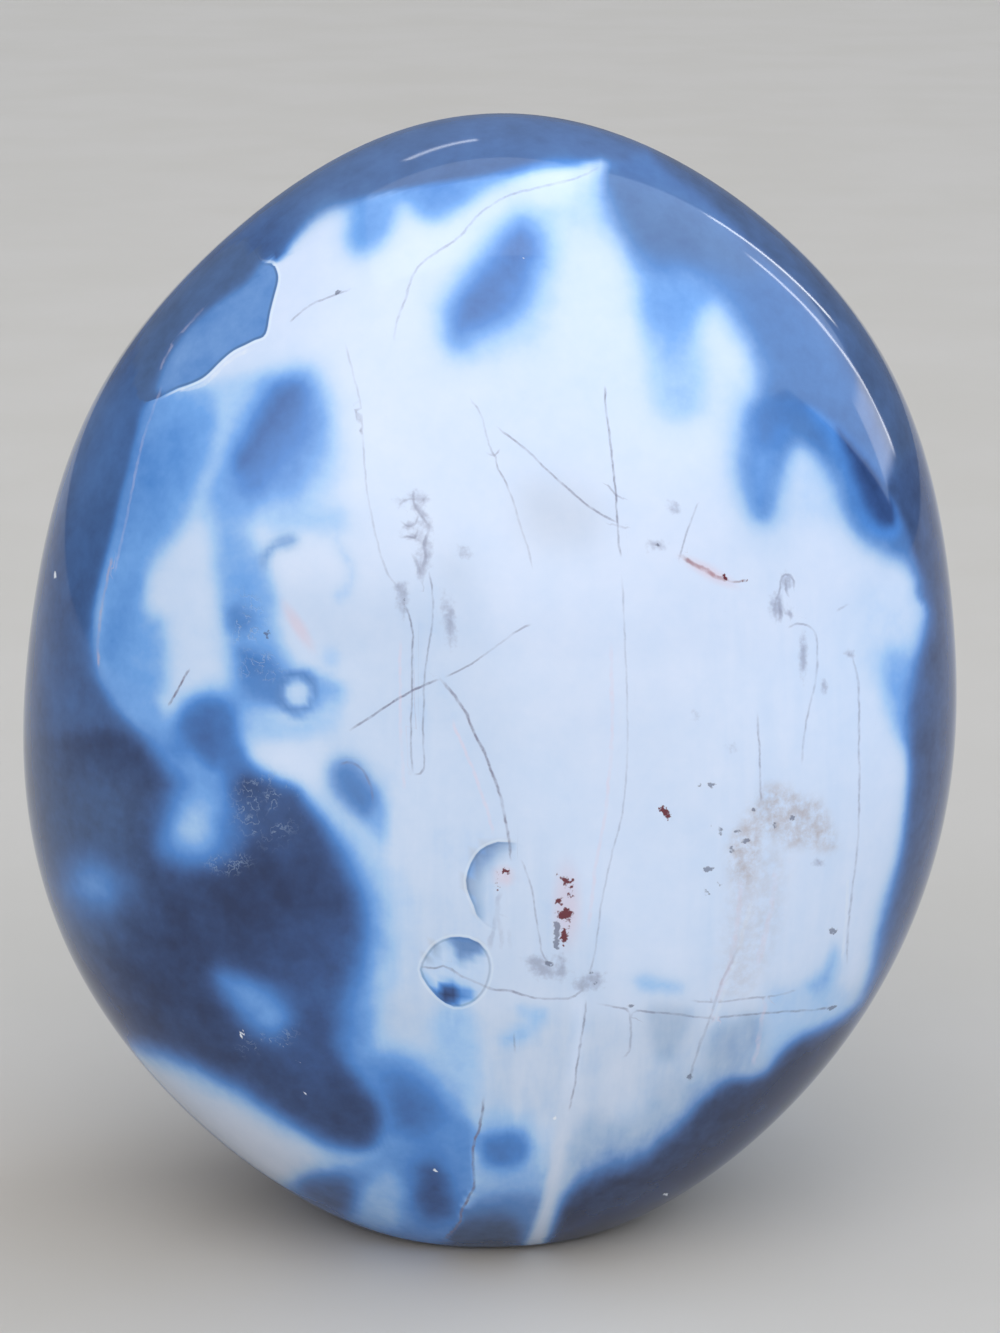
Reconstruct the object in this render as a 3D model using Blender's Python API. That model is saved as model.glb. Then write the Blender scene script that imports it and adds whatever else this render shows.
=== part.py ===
"""A freeform of orca jasper: one solid, egg-shaped stone, ground and polished all over.

It stands on the small flat that was ground across its lower end. The broad polished
face looks along -Y, +X is to the right and +Z is up. The origin is on the foot's plane,
below the middle of the stone's box.

The form starts as a cube whose faces are split into even cells and blown out to a ball.
Each point of the ball then moves along its own direction to the stone's skin:
a hand-ground outline in the XZ plane, and a dome in front of it and behind it.
"""

import math

import bmesh
import bpy
import numpy as np

MM = 0.001

# Driving dimensions, in millimetres and degrees.
MIDDLE_HEIGHT = 56.8  # the outline is measured from this height over the foot
OUTLINE_RADII = (  # one radius every 22.5 degrees
    48.5, 50.0, 54.0, 57.5,  # from the right side up to the right shoulder
    59.5, 55.5, 51.5, 48.5,  # from the crown down to the left shoulder
    48.0, 50.5, 53.5, 57.5,  # from the left side down to the foot
    60.5, 57.5, 53.0, 50.0,  # from the foot up to the right side
)
FRONT_DEPTH = 30.5  # the dome in front of the outline
BACK_DEPTH = 27.5  # the dome behind it
FULLNESS = 2.25  # 2 is an ellipse, and more is boxier
FRONT_CREST = (0.12, 250.0)  # how far the front dome swells, and towards where
BACK_CREST = (0.08, 285.0)
WAVE_HEIGHT = 0.25  # the grinder's slow unevenness over both domes
WAVE_LENGTHS = (47.0, 38.0)  # across and up
FOOT_EDGE = 1.0  # softness of the edge where the flat foot was ground
CELLS_PER_SIDE = 27  # of the ball's starting cube

STONE_COLOUR = (0.46, 0.56, 0.72, 1.0)
STONE_ROUGHNESS = 0.07
STONE_IOR = 1.54


def clear_scene():
    for thing in list(bpy.data.objects):
        bpy.data.objects.remove(thing, do_unlink=True)


def ball_of_cells(cells):
    """A closed ball of even four-sided cells, as a bmesh."""
    ball = bmesh.new()
    bmesh.ops.create_cube(ball, size=2.0)
    bmesh.ops.subdivide_edges(ball, edges=ball.edges[:], cuts=cells - 1, use_grid_fill=True)
    for vert in ball.verts:
        even = [math.tan(part * math.pi / 4) for part in vert.co]
        vert.co = even
        vert.co.normalize()
    return ball


def outline_radius(angle):
    """The smooth closed curve through OUTLINE_RADII, at any angle, from its waves."""
    count = len(OUTLINE_RADII)
    waves = np.fft.rfft(OUTLINE_RADII) / count
    radius = np.full_like(angle, waves[0].real)
    for turns in range(1, len(waves)):
        share = 1 if 2 * turns == count else 2
        wave = waves[turns] * np.exp(1j * turns * angle)
        radius += share * wave.real
    return radius


def dome_depth(depth, crest, across, angle):
    """A dome's depth along one direction, swollen towards its crest."""
    swell, towards = crest
    return depth * (1 + swell * across * np.cos(angle - math.radians(towards)))


def slow_waves(x, z):
    """The unevenness that hand grinding leaves, too slow to see but for the reflections."""
    across, up = (2 * math.pi / length for length in WAVE_LENGTHS)
    return WAVE_HEIGHT * np.sin(across * x + up * z / 3) * np.sin(up * z - across * x / 4)


def grind_foot(height):
    """Points below the foot's plane are ground up to it, over a softly rounded edge."""
    eased = (height + FOOT_EDGE) ** 2 / (4 * FOOT_EDGE)
    ground = np.where(height < -FOOT_EDGE, 0.0, eased)
    return np.where(height > FOOT_EDGE, height, ground)


def stone_skin(directions):
    """The point on the stone's skin, in millimetres, for each direction from its middle."""
    right, back, up = directions.T
    angle = np.arctan2(up, right)
    flatwise = np.minimum(np.hypot(right, up), 1.0)
    across = flatwise ** (2 / FULLNESS)
    deep = (1 - flatwise**2) ** (1 / FULLNESS)
    x = outline_radius(angle) * across * np.cos(angle)
    z = outline_radius(angle) * across * np.sin(angle)
    front = dome_depth(FRONT_DEPTH, FRONT_CREST, across, angle) + slow_waves(x, z)
    behind = dome_depth(BACK_DEPTH, BACK_CREST, across, angle) + slow_waves(z, x)
    y = deep * np.where(back < 0, -front, behind)
    return np.column_stack((x, y, grind_foot(z + MIDDLE_HEIGHT)))


def centre_on_foot(points):
    """Puts the middle of the box over the origin."""
    low = points.min(axis=0)
    high = points.max(axis=0)
    middle = (low + high) / 2
    return points - (middle[0], middle[1], 0.0)


def stone_material():
    material = bpy.data.materials.new("stone")
    material.use_nodes = True
    shader = material.node_tree.nodes["Principled BSDF"]
    shader.inputs["Base Color"].default_value = STONE_COLOUR
    shader.inputs["Roughness"].default_value = STONE_ROUGHNESS
    shader.inputs["Metallic"].default_value = 0.0
    shader.inputs["IOR"].default_value = STONE_IOR
    return material


def make_stone(collection):
    ball = ball_of_cells(CELLS_PER_SIDE)
    directions = np.array([vert.co for vert in ball.verts], dtype=float)
    points = centre_on_foot(stone_skin(directions)) * MM
    for vert, point in zip(ball.verts, points):
        vert.co = point
    mesh = bpy.data.meshes.new("stone")
    ball.to_mesh(mesh)
    ball.free()
    mesh.shade_smooth()
    mesh.materials.append(stone_material())
    stone = bpy.data.objects.new("stone", mesh)
    collection.objects.link(stone)
    return stone


def main():
    clear_scene()
    collection = bpy.data.collections.new("orca_jasper_freeform")
    bpy.context.scene.collection.children.link(collection)
    make_stone(collection)


main()
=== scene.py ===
# %% [markdown]
# # A polished freeform of orca jasper
#
# This scene dresses one piece: a flattened, egg-shaped stone that stands on a small flat.
# It is blue and white chalcedony. White clouds float in clear, dark stone, and where a
# cloud thins out it turns pale blue and then deep blue. Old cracks were healed by the
# same silica, and a few of them carry rust.
#
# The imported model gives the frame, and the stone is made again inside it, finely enough
# to carry its clouds. Sizes are in millimetres until the mesh is written, in metres.

import math

import bmesh
import bpy
import numpy as np
from mathutils import Matrix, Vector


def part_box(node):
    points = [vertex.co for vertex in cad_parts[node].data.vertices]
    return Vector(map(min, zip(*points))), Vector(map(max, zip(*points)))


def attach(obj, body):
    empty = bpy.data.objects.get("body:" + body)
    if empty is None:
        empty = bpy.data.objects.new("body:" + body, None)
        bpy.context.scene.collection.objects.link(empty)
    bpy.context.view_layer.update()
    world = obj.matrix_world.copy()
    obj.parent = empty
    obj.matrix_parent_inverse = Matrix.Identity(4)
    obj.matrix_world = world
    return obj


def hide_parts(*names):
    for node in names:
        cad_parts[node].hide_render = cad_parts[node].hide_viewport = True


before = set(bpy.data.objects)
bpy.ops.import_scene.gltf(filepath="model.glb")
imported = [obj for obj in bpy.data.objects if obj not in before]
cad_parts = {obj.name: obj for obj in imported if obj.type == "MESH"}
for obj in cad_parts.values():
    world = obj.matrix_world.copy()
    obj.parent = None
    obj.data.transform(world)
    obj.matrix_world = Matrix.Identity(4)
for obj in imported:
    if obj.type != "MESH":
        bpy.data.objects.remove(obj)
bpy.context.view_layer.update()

MM = 0.001

# %% [markdown]
# ## The stone's skin
#
# A freeform is ground by hand against a wheel, so it has no flat face and no straight
# line apart from the foot. Its outline is a smooth closed curve, and a dome stands in
# front of that outline and behind it. The numbers are the ones that the CAD part uses,
# so both models have one form.

# %% Form of the stone
MIDDLE_HEIGHT = 56.8  # the outline is measured from this height over the foot
OUTLINE_RADII = (  # one radius every 22.5 degrees
    48.5, 50.0, 54.0, 57.5,  # from the right side up to the right shoulder
    59.5, 55.5, 51.5, 48.5,  # from the crown down to the left shoulder
    48.0, 50.5, 53.5, 57.5,  # from the left side down to the foot
    60.5, 57.5, 53.0, 50.0,  # from the foot up to the right side
)
FRONT_DEPTH = 30.5  # the dome in front of the outline
BACK_DEPTH = 27.5  # the dome behind it
FULLNESS = 2.25  # 2 is an ellipse, and more is boxier
FRONT_CREST = (0.12, 250.0)  # how far the front dome swells, and towards where
BACK_CREST = (0.08, 285.0)
WAVE_HEIGHT = 0.25  # the grinder's slow unevenness over both domes
WAVE_LENGTHS = (47.0, 38.0)  # across and up
FOOT_EDGE = 1.0  # softness of the edge where the flat foot was ground


def outline_radius(angle):
    """The smooth closed curve through OUTLINE_RADII, at any angle, from its waves."""
    count = len(OUTLINE_RADII)
    waves = np.fft.rfft(OUTLINE_RADII) / count
    radius = np.full_like(angle, waves[0].real)
    for turns in range(1, len(waves)):
        share = 1 if 2 * turns == count else 2
        wave = waves[turns] * np.exp(1j * turns * angle)
        radius += share * wave.real
    return radius


def dome_depth(depth, crest, across, angle):
    """A dome's depth along one direction, swollen towards its crest."""
    swell, towards = crest
    return depth * (1 + swell * across * np.cos(angle - math.radians(towards)))


def slow_waves(x, z):
    """The unevenness that hand grinding leaves, too slow to see but for the reflections."""
    across, up = (2 * math.pi / length for length in WAVE_LENGTHS)
    return WAVE_HEIGHT * np.sin(across * x + up * z / 3) * np.sin(up * z - across * x / 4)


def grind_foot(height):
    """Points below the foot's plane are ground up to it, over a softly rounded edge."""
    eased = (height + FOOT_EDGE) ** 2 / (4 * FOOT_EDGE)
    ground = np.where(height < -FOOT_EDGE, 0.0, eased)
    return np.where(height > FOOT_EDGE, height, ground)


def stone_skin(directions):
    """The point on the stone's skin, in millimetres, for each direction from its middle."""
    right, back, up = directions.T
    angle = np.arctan2(up, right)
    flatwise = np.minimum(np.hypot(right, up), 1.0)
    across = flatwise ** (2 / FULLNESS)
    deep = (1 - flatwise**2) ** (1 / FULLNESS)
    x = outline_radius(angle) * across * np.cos(angle)
    z = outline_radius(angle) * across * np.sin(angle)
    front = dome_depth(FRONT_DEPTH, FRONT_CREST, across, angle) + slow_waves(x, z)
    behind = dome_depth(BACK_DEPTH, BACK_CREST, across, angle) + slow_waves(z, x)
    y = deep * np.where(back < 0, -front, behind)
    return np.column_stack((x, y, grind_foot(z + MIDDLE_HEIGHT)))


# %% [markdown]
# ## A ball of cells
#
# The stone starts as a cube whose faces are cut into even cells and blown out to a ball,
# which has no poles where lines would crowd together. The broad front face of the cube
# is cut three times finer, because the clouds and cracks there are seen best, and the
# directions are gathered towards it so that it reaches nearly to the outline.

# %% Ball of cells
CELLS_PER_SIDE = 80
FRONT_SPLIT = 3
CUBE_FRONT = -0.999  # the cube's front face lies past this
GATHER = 0.5  # how much of their depth the ball's directions keep


def split_front(ball):
    """Cuts the cells of the cube's front face finer."""
    front = [
        edge for edge in ball.edges
        if all(vert.co.y < CUBE_FRONT for vert in edge.verts)
    ]
    bmesh.ops.subdivide_edges(ball, edges=front, cuts=FRONT_SPLIT - 1, use_grid_fill=True)


def ball_of_cells():
    """A closed ball of four-sided cells, finer in front, as a bmesh."""
    ball = bmesh.new()
    bmesh.ops.create_cube(ball, size=2.0)
    cuts = CELLS_PER_SIDE - 1
    bmesh.ops.subdivide_edges(ball, edges=ball.edges[:], cuts=cuts, use_grid_fill=True)
    split_front(ball)
    return ball


def ball_directions(ball):
    """One direction for each corner of the ball's cells, gathered towards the front."""
    corners = np.array([vert.co for vert in ball.verts], dtype=float)
    even = np.tan(corners * math.pi / 4)
    even[:, 1] *= GATHER
    return even / np.linalg.norm(even, axis=1, keepdims=True)


def fitted(skin):
    """Moves and shrinks the skin, by less than a thousandth, into the CAD stone's box."""
    low, high = (np.array(corner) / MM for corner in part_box("stone"))
    share = (skin - skin.min(axis=0)) / np.ptp(skin, axis=0)
    return low + share * (high - low)


def stone_mesh():
    """The stone's skin as one closed mesh, in metres."""
    ball = ball_of_cells()
    skin = fitted(stone_skin(ball_directions(ball)))
    for vert, place in zip(ball.verts, skin * MM):
        vert.co = place
    mesh = bpy.data.meshes.new("stone_skin")
    ball.to_mesh(mesh)
    ball.free()
    mesh.shade_smooth()
    return mesh


mesh = stone_mesh()
print("cells:", len(mesh.polygons), "corners:", len(mesh.vertices))

# %% [markdown]
# ## The camera, and what it sees of the stone
#
# The camera looks down on the broad face at fifteen degrees. Marks on the stone are
# placed by where they are in the photograph's frame, so each corner of the mesh is
# given its place in that frame once, and keeps it however the camera moves later.

# %% Camera
PICTURE = (1000.0, 1333.0)  # pixels
PIXELS_PER_MM = 9.66  # at the stone's middle
VIEW_DISTANCE = 380.0
VIEW_ELEVATION = math.radians(15)
SENSOR = 36.0  # millimetres, along the picture's height
AIM_OFFSET = (1.09, 2.85)  # millimetres right of the stone's middle and above it
CLIP_RANGE = (0.01, 50.0)  # metres

VIEW_RIGHT = np.array((1.0, 0.0, 0.0))
VIEW_AHEAD = np.array((0.0, math.cos(VIEW_ELEVATION), -math.sin(VIEW_ELEVATION)))
VIEW_UP = np.array((0.0, math.sin(VIEW_ELEVATION), math.cos(VIEW_ELEVATION)))
STONE_MIDDLE = np.array((0.0, 0.0, MIDDLE_HEIGHT))
AIM = STONE_MIDDLE + AIM_OFFSET[0] * VIEW_RIGHT + AIM_OFFSET[1] * VIEW_UP
CAMERA_PLACE = AIM - VIEW_DISTANCE * VIEW_AHEAD


def make_camera():
    data = bpy.data.cameras.new("camera")
    data.sensor_fit = "VERTICAL"
    data.sensor_height = SENSOR
    data.lens = SENSOR * PIXELS_PER_MM * VIEW_DISTANCE / PICTURE[1]
    data.clip_start, data.clip_end = CLIP_RANGE
    camera = bpy.data.objects.new("camera", data)
    bpy.context.scene.collection.objects.link(camera)
    turn = Matrix((VIEW_RIGHT, VIEW_UP, -VIEW_AHEAD)).transposed().to_4x4()
    camera.matrix_world = Matrix.Translation(CAMERA_PLACE * MM) @ turn
    bpy.context.scene.camera = camera
    return camera


def picture_places(points):
    """Where points in millimetres fall in the photograph's frame, in its pixels."""
    offsets = points - CAMERA_PLACE
    shrink = PIXELS_PER_MM * VIEW_DISTANCE / (offsets @ VIEW_AHEAD)
    across = PICTURE[0] / 2 + offsets @ VIEW_RIGHT * shrink
    down = PICTURE[1] / 2 - offsets @ VIEW_UP * shrink
    return np.column_stack((across, down))


def corner_values(mesh, name):
    """A three-number value of each of the mesh's corners, as an array."""
    values = np.empty(len(mesh.vertices) * 3)
    mesh.vertices.foreach_get(name, values)
    return values.reshape(-1, 3)


camera = make_camera()
corners = corner_values(mesh, "co") / MM
normals = corner_values(mesh, "normal")
picture = picture_places(corners)
print("lens:", round(camera.data.lens, 1), "mm")
print("stone in the picture:", picture.min(axis=0).round(), picture.max(axis=0).round())

# %% [markdown]
# ## Soft outlines
#
# A cloud in chalcedony has no hard edge: silica and tiny bubbles mix over a few
# millimetres. So each cloud is an outline of listed points with a smooth curve
# through them, a level, and a softness. The level says how clear the stone is, from
# 0 for white cloud to 1 for dark, clear stone. The softness is half the width of the
# edge, in millimetres, and a point may have its own.

# %% Curves and soft edges
CURVE_STEPS = 4
EDGE_STEEPNESS = 1.5
CLOUD_REACH = 2.5  # how many softnesses past its outline a cloud is still painted


def ease(share):
    """A soft step from 0 to 1."""
    share = np.clip(share, 0.0, 1.0)
    return share * share * (3 - 2 * share)


def with_softness(points, softness):
    """The points as an array of x, y and softness."""
    filled = [point if len(point) == 3 else (*point, softness) for point in points]
    return np.array(filled, dtype=float)


def curve_through(points, closed):
    """A smooth curve through the points, with CURVE_STEPS steps from each to the next."""
    if closed:
        turns = (1, 0, -1, -2)
        before, here, after, beyond = (np.roll(points, turn, axis=0) for turn in turns)
    else:
        longer = np.vstack((points[:1], points, points[-1:]))
        before, here, after, beyond = longer[:-3], longer[1:-2], longer[2:-1], longer[3:]
    rows = []
    for step in range(CURVE_STEPS):
        t = step / CURVE_STEPS
        straight = 2 * here + (after - before) * t
        bend = (2 * before - 5 * here + 4 * after - beyond) * t**2
        twist = (3 * here - before - 3 * after + beyond) * t**3
        rows.append((straight + bend + twist) / 2)
    curve = np.stack(rows, axis=1).reshape(-1, points.shape[1])
    return curve if closed else np.vstack((curve, points[-1:]))


def nearest_on(curve, places, closed):
    """The distance to a curve, the share of the way along it, its softness and the side."""
    ends = np.roll(curve, -1, axis=0) if closed else curve[1:]
    starts = curve[:len(ends)]
    distance = np.full(len(places), np.inf)
    along = np.zeros(len(places))
    softness = np.zeros(len(places))
    side = np.ones(len(places))
    for index, (start, end) in enumerate(zip(starts, ends)):
        run = (end - start)[:2]
        offset = places - start[:2]
        share = np.clip(offset @ run / max(run @ run, 1e-9), 0.0, 1.0)
        gap = offset - share[:, None] * run
        reach = np.hypot(gap[:, 0], gap[:, 1])
        near = reach < distance
        distance = np.where(near, reach, distance)
        along = np.where(near, (index + share) / len(ends), along)
        softness = np.where(near, start[2] + share * (end[2] - start[2]), softness)
        across = run[0] * offset[:, 1] - run[1] * offset[:, 0]
        side = np.where(near, np.sign(across), side)
    return distance, along, softness, side


def inside(curve, places):
    """True for the places that a closed curve goes round."""
    within = np.zeros(len(places), dtype=bool)
    for start, end in zip(curve, np.roll(curve, -1, axis=0)):
        if start[1] == end[1]:
            continue
        level = (start[1] > places[:, 1]) != (end[1] > places[:, 1])
        slope = (end[0] - start[0]) / (end[1] - start[1])
        crossing = start[0] + (places[:, 1] - start[1]) * slope
        within ^= level & (places[:, 0] < crossing)
    return within


def depth_inside(points, places, softness=1.0, per_mm=PIXELS_PER_MM):
    """Millimetres inside a closed outline, less than 0 outside it, and the softness."""
    curve = curve_through(with_softness(points, softness), closed=True)
    distance, _, soft, _ = nearest_on(curve, places, closed=True)
    signed = np.where(inside(curve, places), distance, -distance)
    return signed / per_mm, soft


def near_box(points, places, margin):
    """True for the places in the box round some points, with a margin round it."""
    spots = np.array([point[:2] for point in points], dtype=float)
    low = spots.min(axis=0) - margin
    high = spots.max(axis=0) + margin
    return np.all((places > low) & (places < high), axis=1)


def paint(levels, clouds, places, per_mm=PIXELS_PER_MM):
    """Paints clouds over each other, in their order, on the levels that are there."""
    levels = levels.copy()
    for name, level, softness, outline in clouds:
        widest = max([softness] + [point[2] for point in outline if len(point) == 3])
        near = near_box(outline, places, CLOUD_REACH * widest * per_mm)
        depth, soft = depth_inside(outline, places[near], softness, per_mm)
        cover = 0.5 + 0.5 * np.tanh(EDGE_STEEPNESS * depth / soft)
        levels[near] += (level - levels[near]) * cover
    return levels


# %% [markdown]
# ## Clouds of the broad face
#
# One long white cloud fills the middle of the face, with a rim of clear stone round it.
# Lobes of clear stone reach into the white from the top. Each list below runs from what
# lies deepest to what lies nearest, and a later cloud covers an earlier one. The faint
# milky clouds come first, so that every other cloud lies over them, and with them a
# soft painted shade that darkens the upper face.

# %% Clouds of the upper face
WHITE_CLOUD = 0.03  # the level where no other cloud lies

MILKY_CLOUDS_AND_SHADE = (
    # Painted shade: darkens the upper face a little, against the light that falls on it from
    # above.
    ("milk of the upper face", 0.09, 8.0, (
        (430, 330), (560, 200), (700, 200), (730, 420), (600, 470), (450, 450))),
    ("haze at the crossing", 0.10, 3.0, (
        (520, 492), (556, 480), (600, 506), (586, 545), (532, 540))),
    ("haze beside the twins", 0.13, 3.0, ((438, 572), (470, 570), (478, 676), (450, 690))),
    ("haze over the crescent", 0.17, 2.6, (
        (530, 802), (568, 815), (604, 862), (590, 888), (550, 858))),
    ("milk of the lower face", 0.08, 7.0, (
        (330, 640), (460, 600), (560, 720), (700, 700), (900, 640), (900, 980), (840, 1010),
        (600, 1010), (380, 1010))),
    ("milk at the left", 0.135, 4.0, (
        (290, 590), (350, 600), (400, 590), (440, 600), (480, 650), (500, 720), (520, 800),
        (570, 880), (600, 960), (600, 1000), (480, 1010), (400, 1030), (370, 980),
        (385, 900), (360, 830), (330, 770), (300, 740), (250, 735), (245, 715), (300, 720),
        (330, 700), (340, 670), (300, 640))),
    ("milk at the foot", 0.16, 2.5, (
        (360, 960), (420, 1000), (600, 1012), (740, 1020), (846, 1010), (836, 1034),
        (700, 1084), (560, 1124), (470, 1120), (430, 1050), (370, 1040))),
)

UPPER_CLOUDS = (
    ("arch veil", 0.19, 2.6, (
        (722, 390), (760, 370), (790, 440), (830, 450), (842, 520), (800, 530), (780, 552),
        (750, 550), (736, 500), (722, 460))),
    ("right veil", 0.17, 2.4, ((856, 590), (930, 590), (930, 680), (870, 680))),
    ("pale hollow", 0.34, 2.0, (
        (640, 300), (645, 350), (650, 396), (664, 418), (690, 420), (704, 404), (708, 376),
        (704, 350), (690, 330), (660, 300))),
    ("upper right lobe", 0.48, 2.0, (
        (632, 250), (637, 288), (645, 320), (659, 349), (673, 356), (687, 345), (697, 328),
        (706, 311), (720, 303), (742, 302), (720, 250), (650, 220))),
    ("apex veil", 0.22, 2.0, (
        (547, 212), (562, 192), (585, 178), (604, 182), (616, 205), (610, 226), (582, 230),
        (556, 224))),
    ("upper right", 0.69, 1.5, (
        (608, 152, 0.8), (605, 182, 1.5), (612, 208, 2.4), (624, 234, 2.8), (640, 256, 3),
        (662, 268, 3.2), (690, 268, 3.2), (711, 282, 3), (724, 302, 2.6), (737, 328, 2.4),
        (749, 352, 2.2), (757, 374, 2), (756, 394, 2), (750, 414, 2), (746, 440, 2.4),
        (743, 470, 2.6), (750, 500, 2.4), (758, 516, 2.2), (766, 518, 2), (772, 506, 2.2),
        (777, 484, 2.2), (784, 462, 2), (794, 449, 1.8), (806, 449, 1.8), (820, 460, 2),
        (834, 482, 2), (842, 509, 1.9), (852, 530, 1.9), (866, 545, 2.1), (884, 555, 2.2),
        (902, 563, 1.9), (914, 579, 1.2), (928, 605, 0.8), (1030, 620), (1030, 60),
        (600, 40))),
    # Painted reflection: this band is greyed almost wholly by its grey share, a veil for what the
    # polish mirrors.
    ("upper right band under painted reflection", 0.70, 2.2, (
        (606, 170, 1), (640, 182), (690, 198), (730, 230), (760, 262), (748, 276),
        (712, 268), (680, 258), (650, 252), (628, 234), (614, 206))),
    ("arch foot", 0.56, 1.6, (
        (752, 410), (746, 436), (745, 464), (750, 496), (760, 514), (769, 500), (775, 476),
        (782, 448), (786, 424))),
    ("arch shoulder", 0.66, 1.2, (
        (754, 412), (768, 400, 0.6), (790, 399, 0.6), (806, 404, 0.7), (818, 412, 0.8),
        (806, 414), (790, 418), (777, 430), (770, 446), (760, 444))),
    ("arch leg", 0.57, 1.4, (
        (806, 406, 0.7), (828, 418, 0.7), (850, 438, 0.7), (872, 464, 0.7),
        (890, 492, 0.7), (902, 522, 0.8), (896, 538, 0.8), (876, 538, 0.8), (862, 528),
        (854, 506), (847, 482), (834, 454), (818, 430))),
    ("arch leg's core", 0.94, 1.1, (
        (838, 430, 0.7), (858, 450, 0.7), (878, 474, 0.7), (892, 500, 0.6), (894, 524, 0.7),
        (878, 525), (866, 508), (858, 486), (848, 460))),
    ("upper right rim", 0.86, 1.0, (
        (650, 150, 0.8), (700, 196, 0.8), (748, 240), (796, 288), (836, 342), (866, 398),
        (888, 452), (902, 500), (1010, 520), (1010, 60), (640, 60))),
    ("small top lobe", 0.50, 1.8, (
        (350, 190), (345, 220), (344, 242), (354, 256), (374, 252), (390, 236), (400, 212),
        (404, 190))),
    ("wide top lobe", 0.54, 1.6, (
        (402, 170), (410, 210), (430, 222), (451, 217), (471, 204), (489, 191), (508, 178),
        (530, 155))),
    ("crown's blue edge", 0.58, 0.8, (
        (500, 150), (500, 177), (530, 172), (562, 169), (580, 166), (590, 152))),
    ("top band", 0.76, 0.5, (
        (250, 266, 0.5), (265, 261, 0.5), (278, 253, 0.7), (291, 241, 0.9), (303, 229, 1.1),
        (317, 218, 1.3), (334, 209, 1.2), (357, 200, 0.7), (378, 194, 0.4), (400, 189, 0.35),
        (428, 184, 0.35), (456, 180, 0.35), (484, 176, 0.4), (512, 168, 0.5),
        (540, 161, 0.6), (566, 158, 0.7), (602, 160, 0.7), (640, 150), (660, 40),
        (480, 40), (330, 40), (100, 180), (220, 250))),
    ("great lobe's tail", 0.18, 1.8, (
        (448, 320), (450, 350), (462, 366), (485, 362), (512, 356), (535, 364), (547, 358),
        (553, 336), (557, 300), (560, 262), (552, 236), (520, 240))),
    ("great lobe", 0.76, 3.1, (
        (527, 217), (538, 229), (542, 250), (538, 271), (528, 296), (513, 316), (495, 328),
        (475, 337), (460, 346), (449, 338), (445, 316), (454, 294), (467, 274), (481, 257),
        (494, 240), (507, 225), (518, 216))),
)

# %% [markdown]
# ### The left side
#
# Blue lobes hang in the white here, and small rings lie below them. The dark rim along
# the edge has a sharper inner side than the clouds have.

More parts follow.
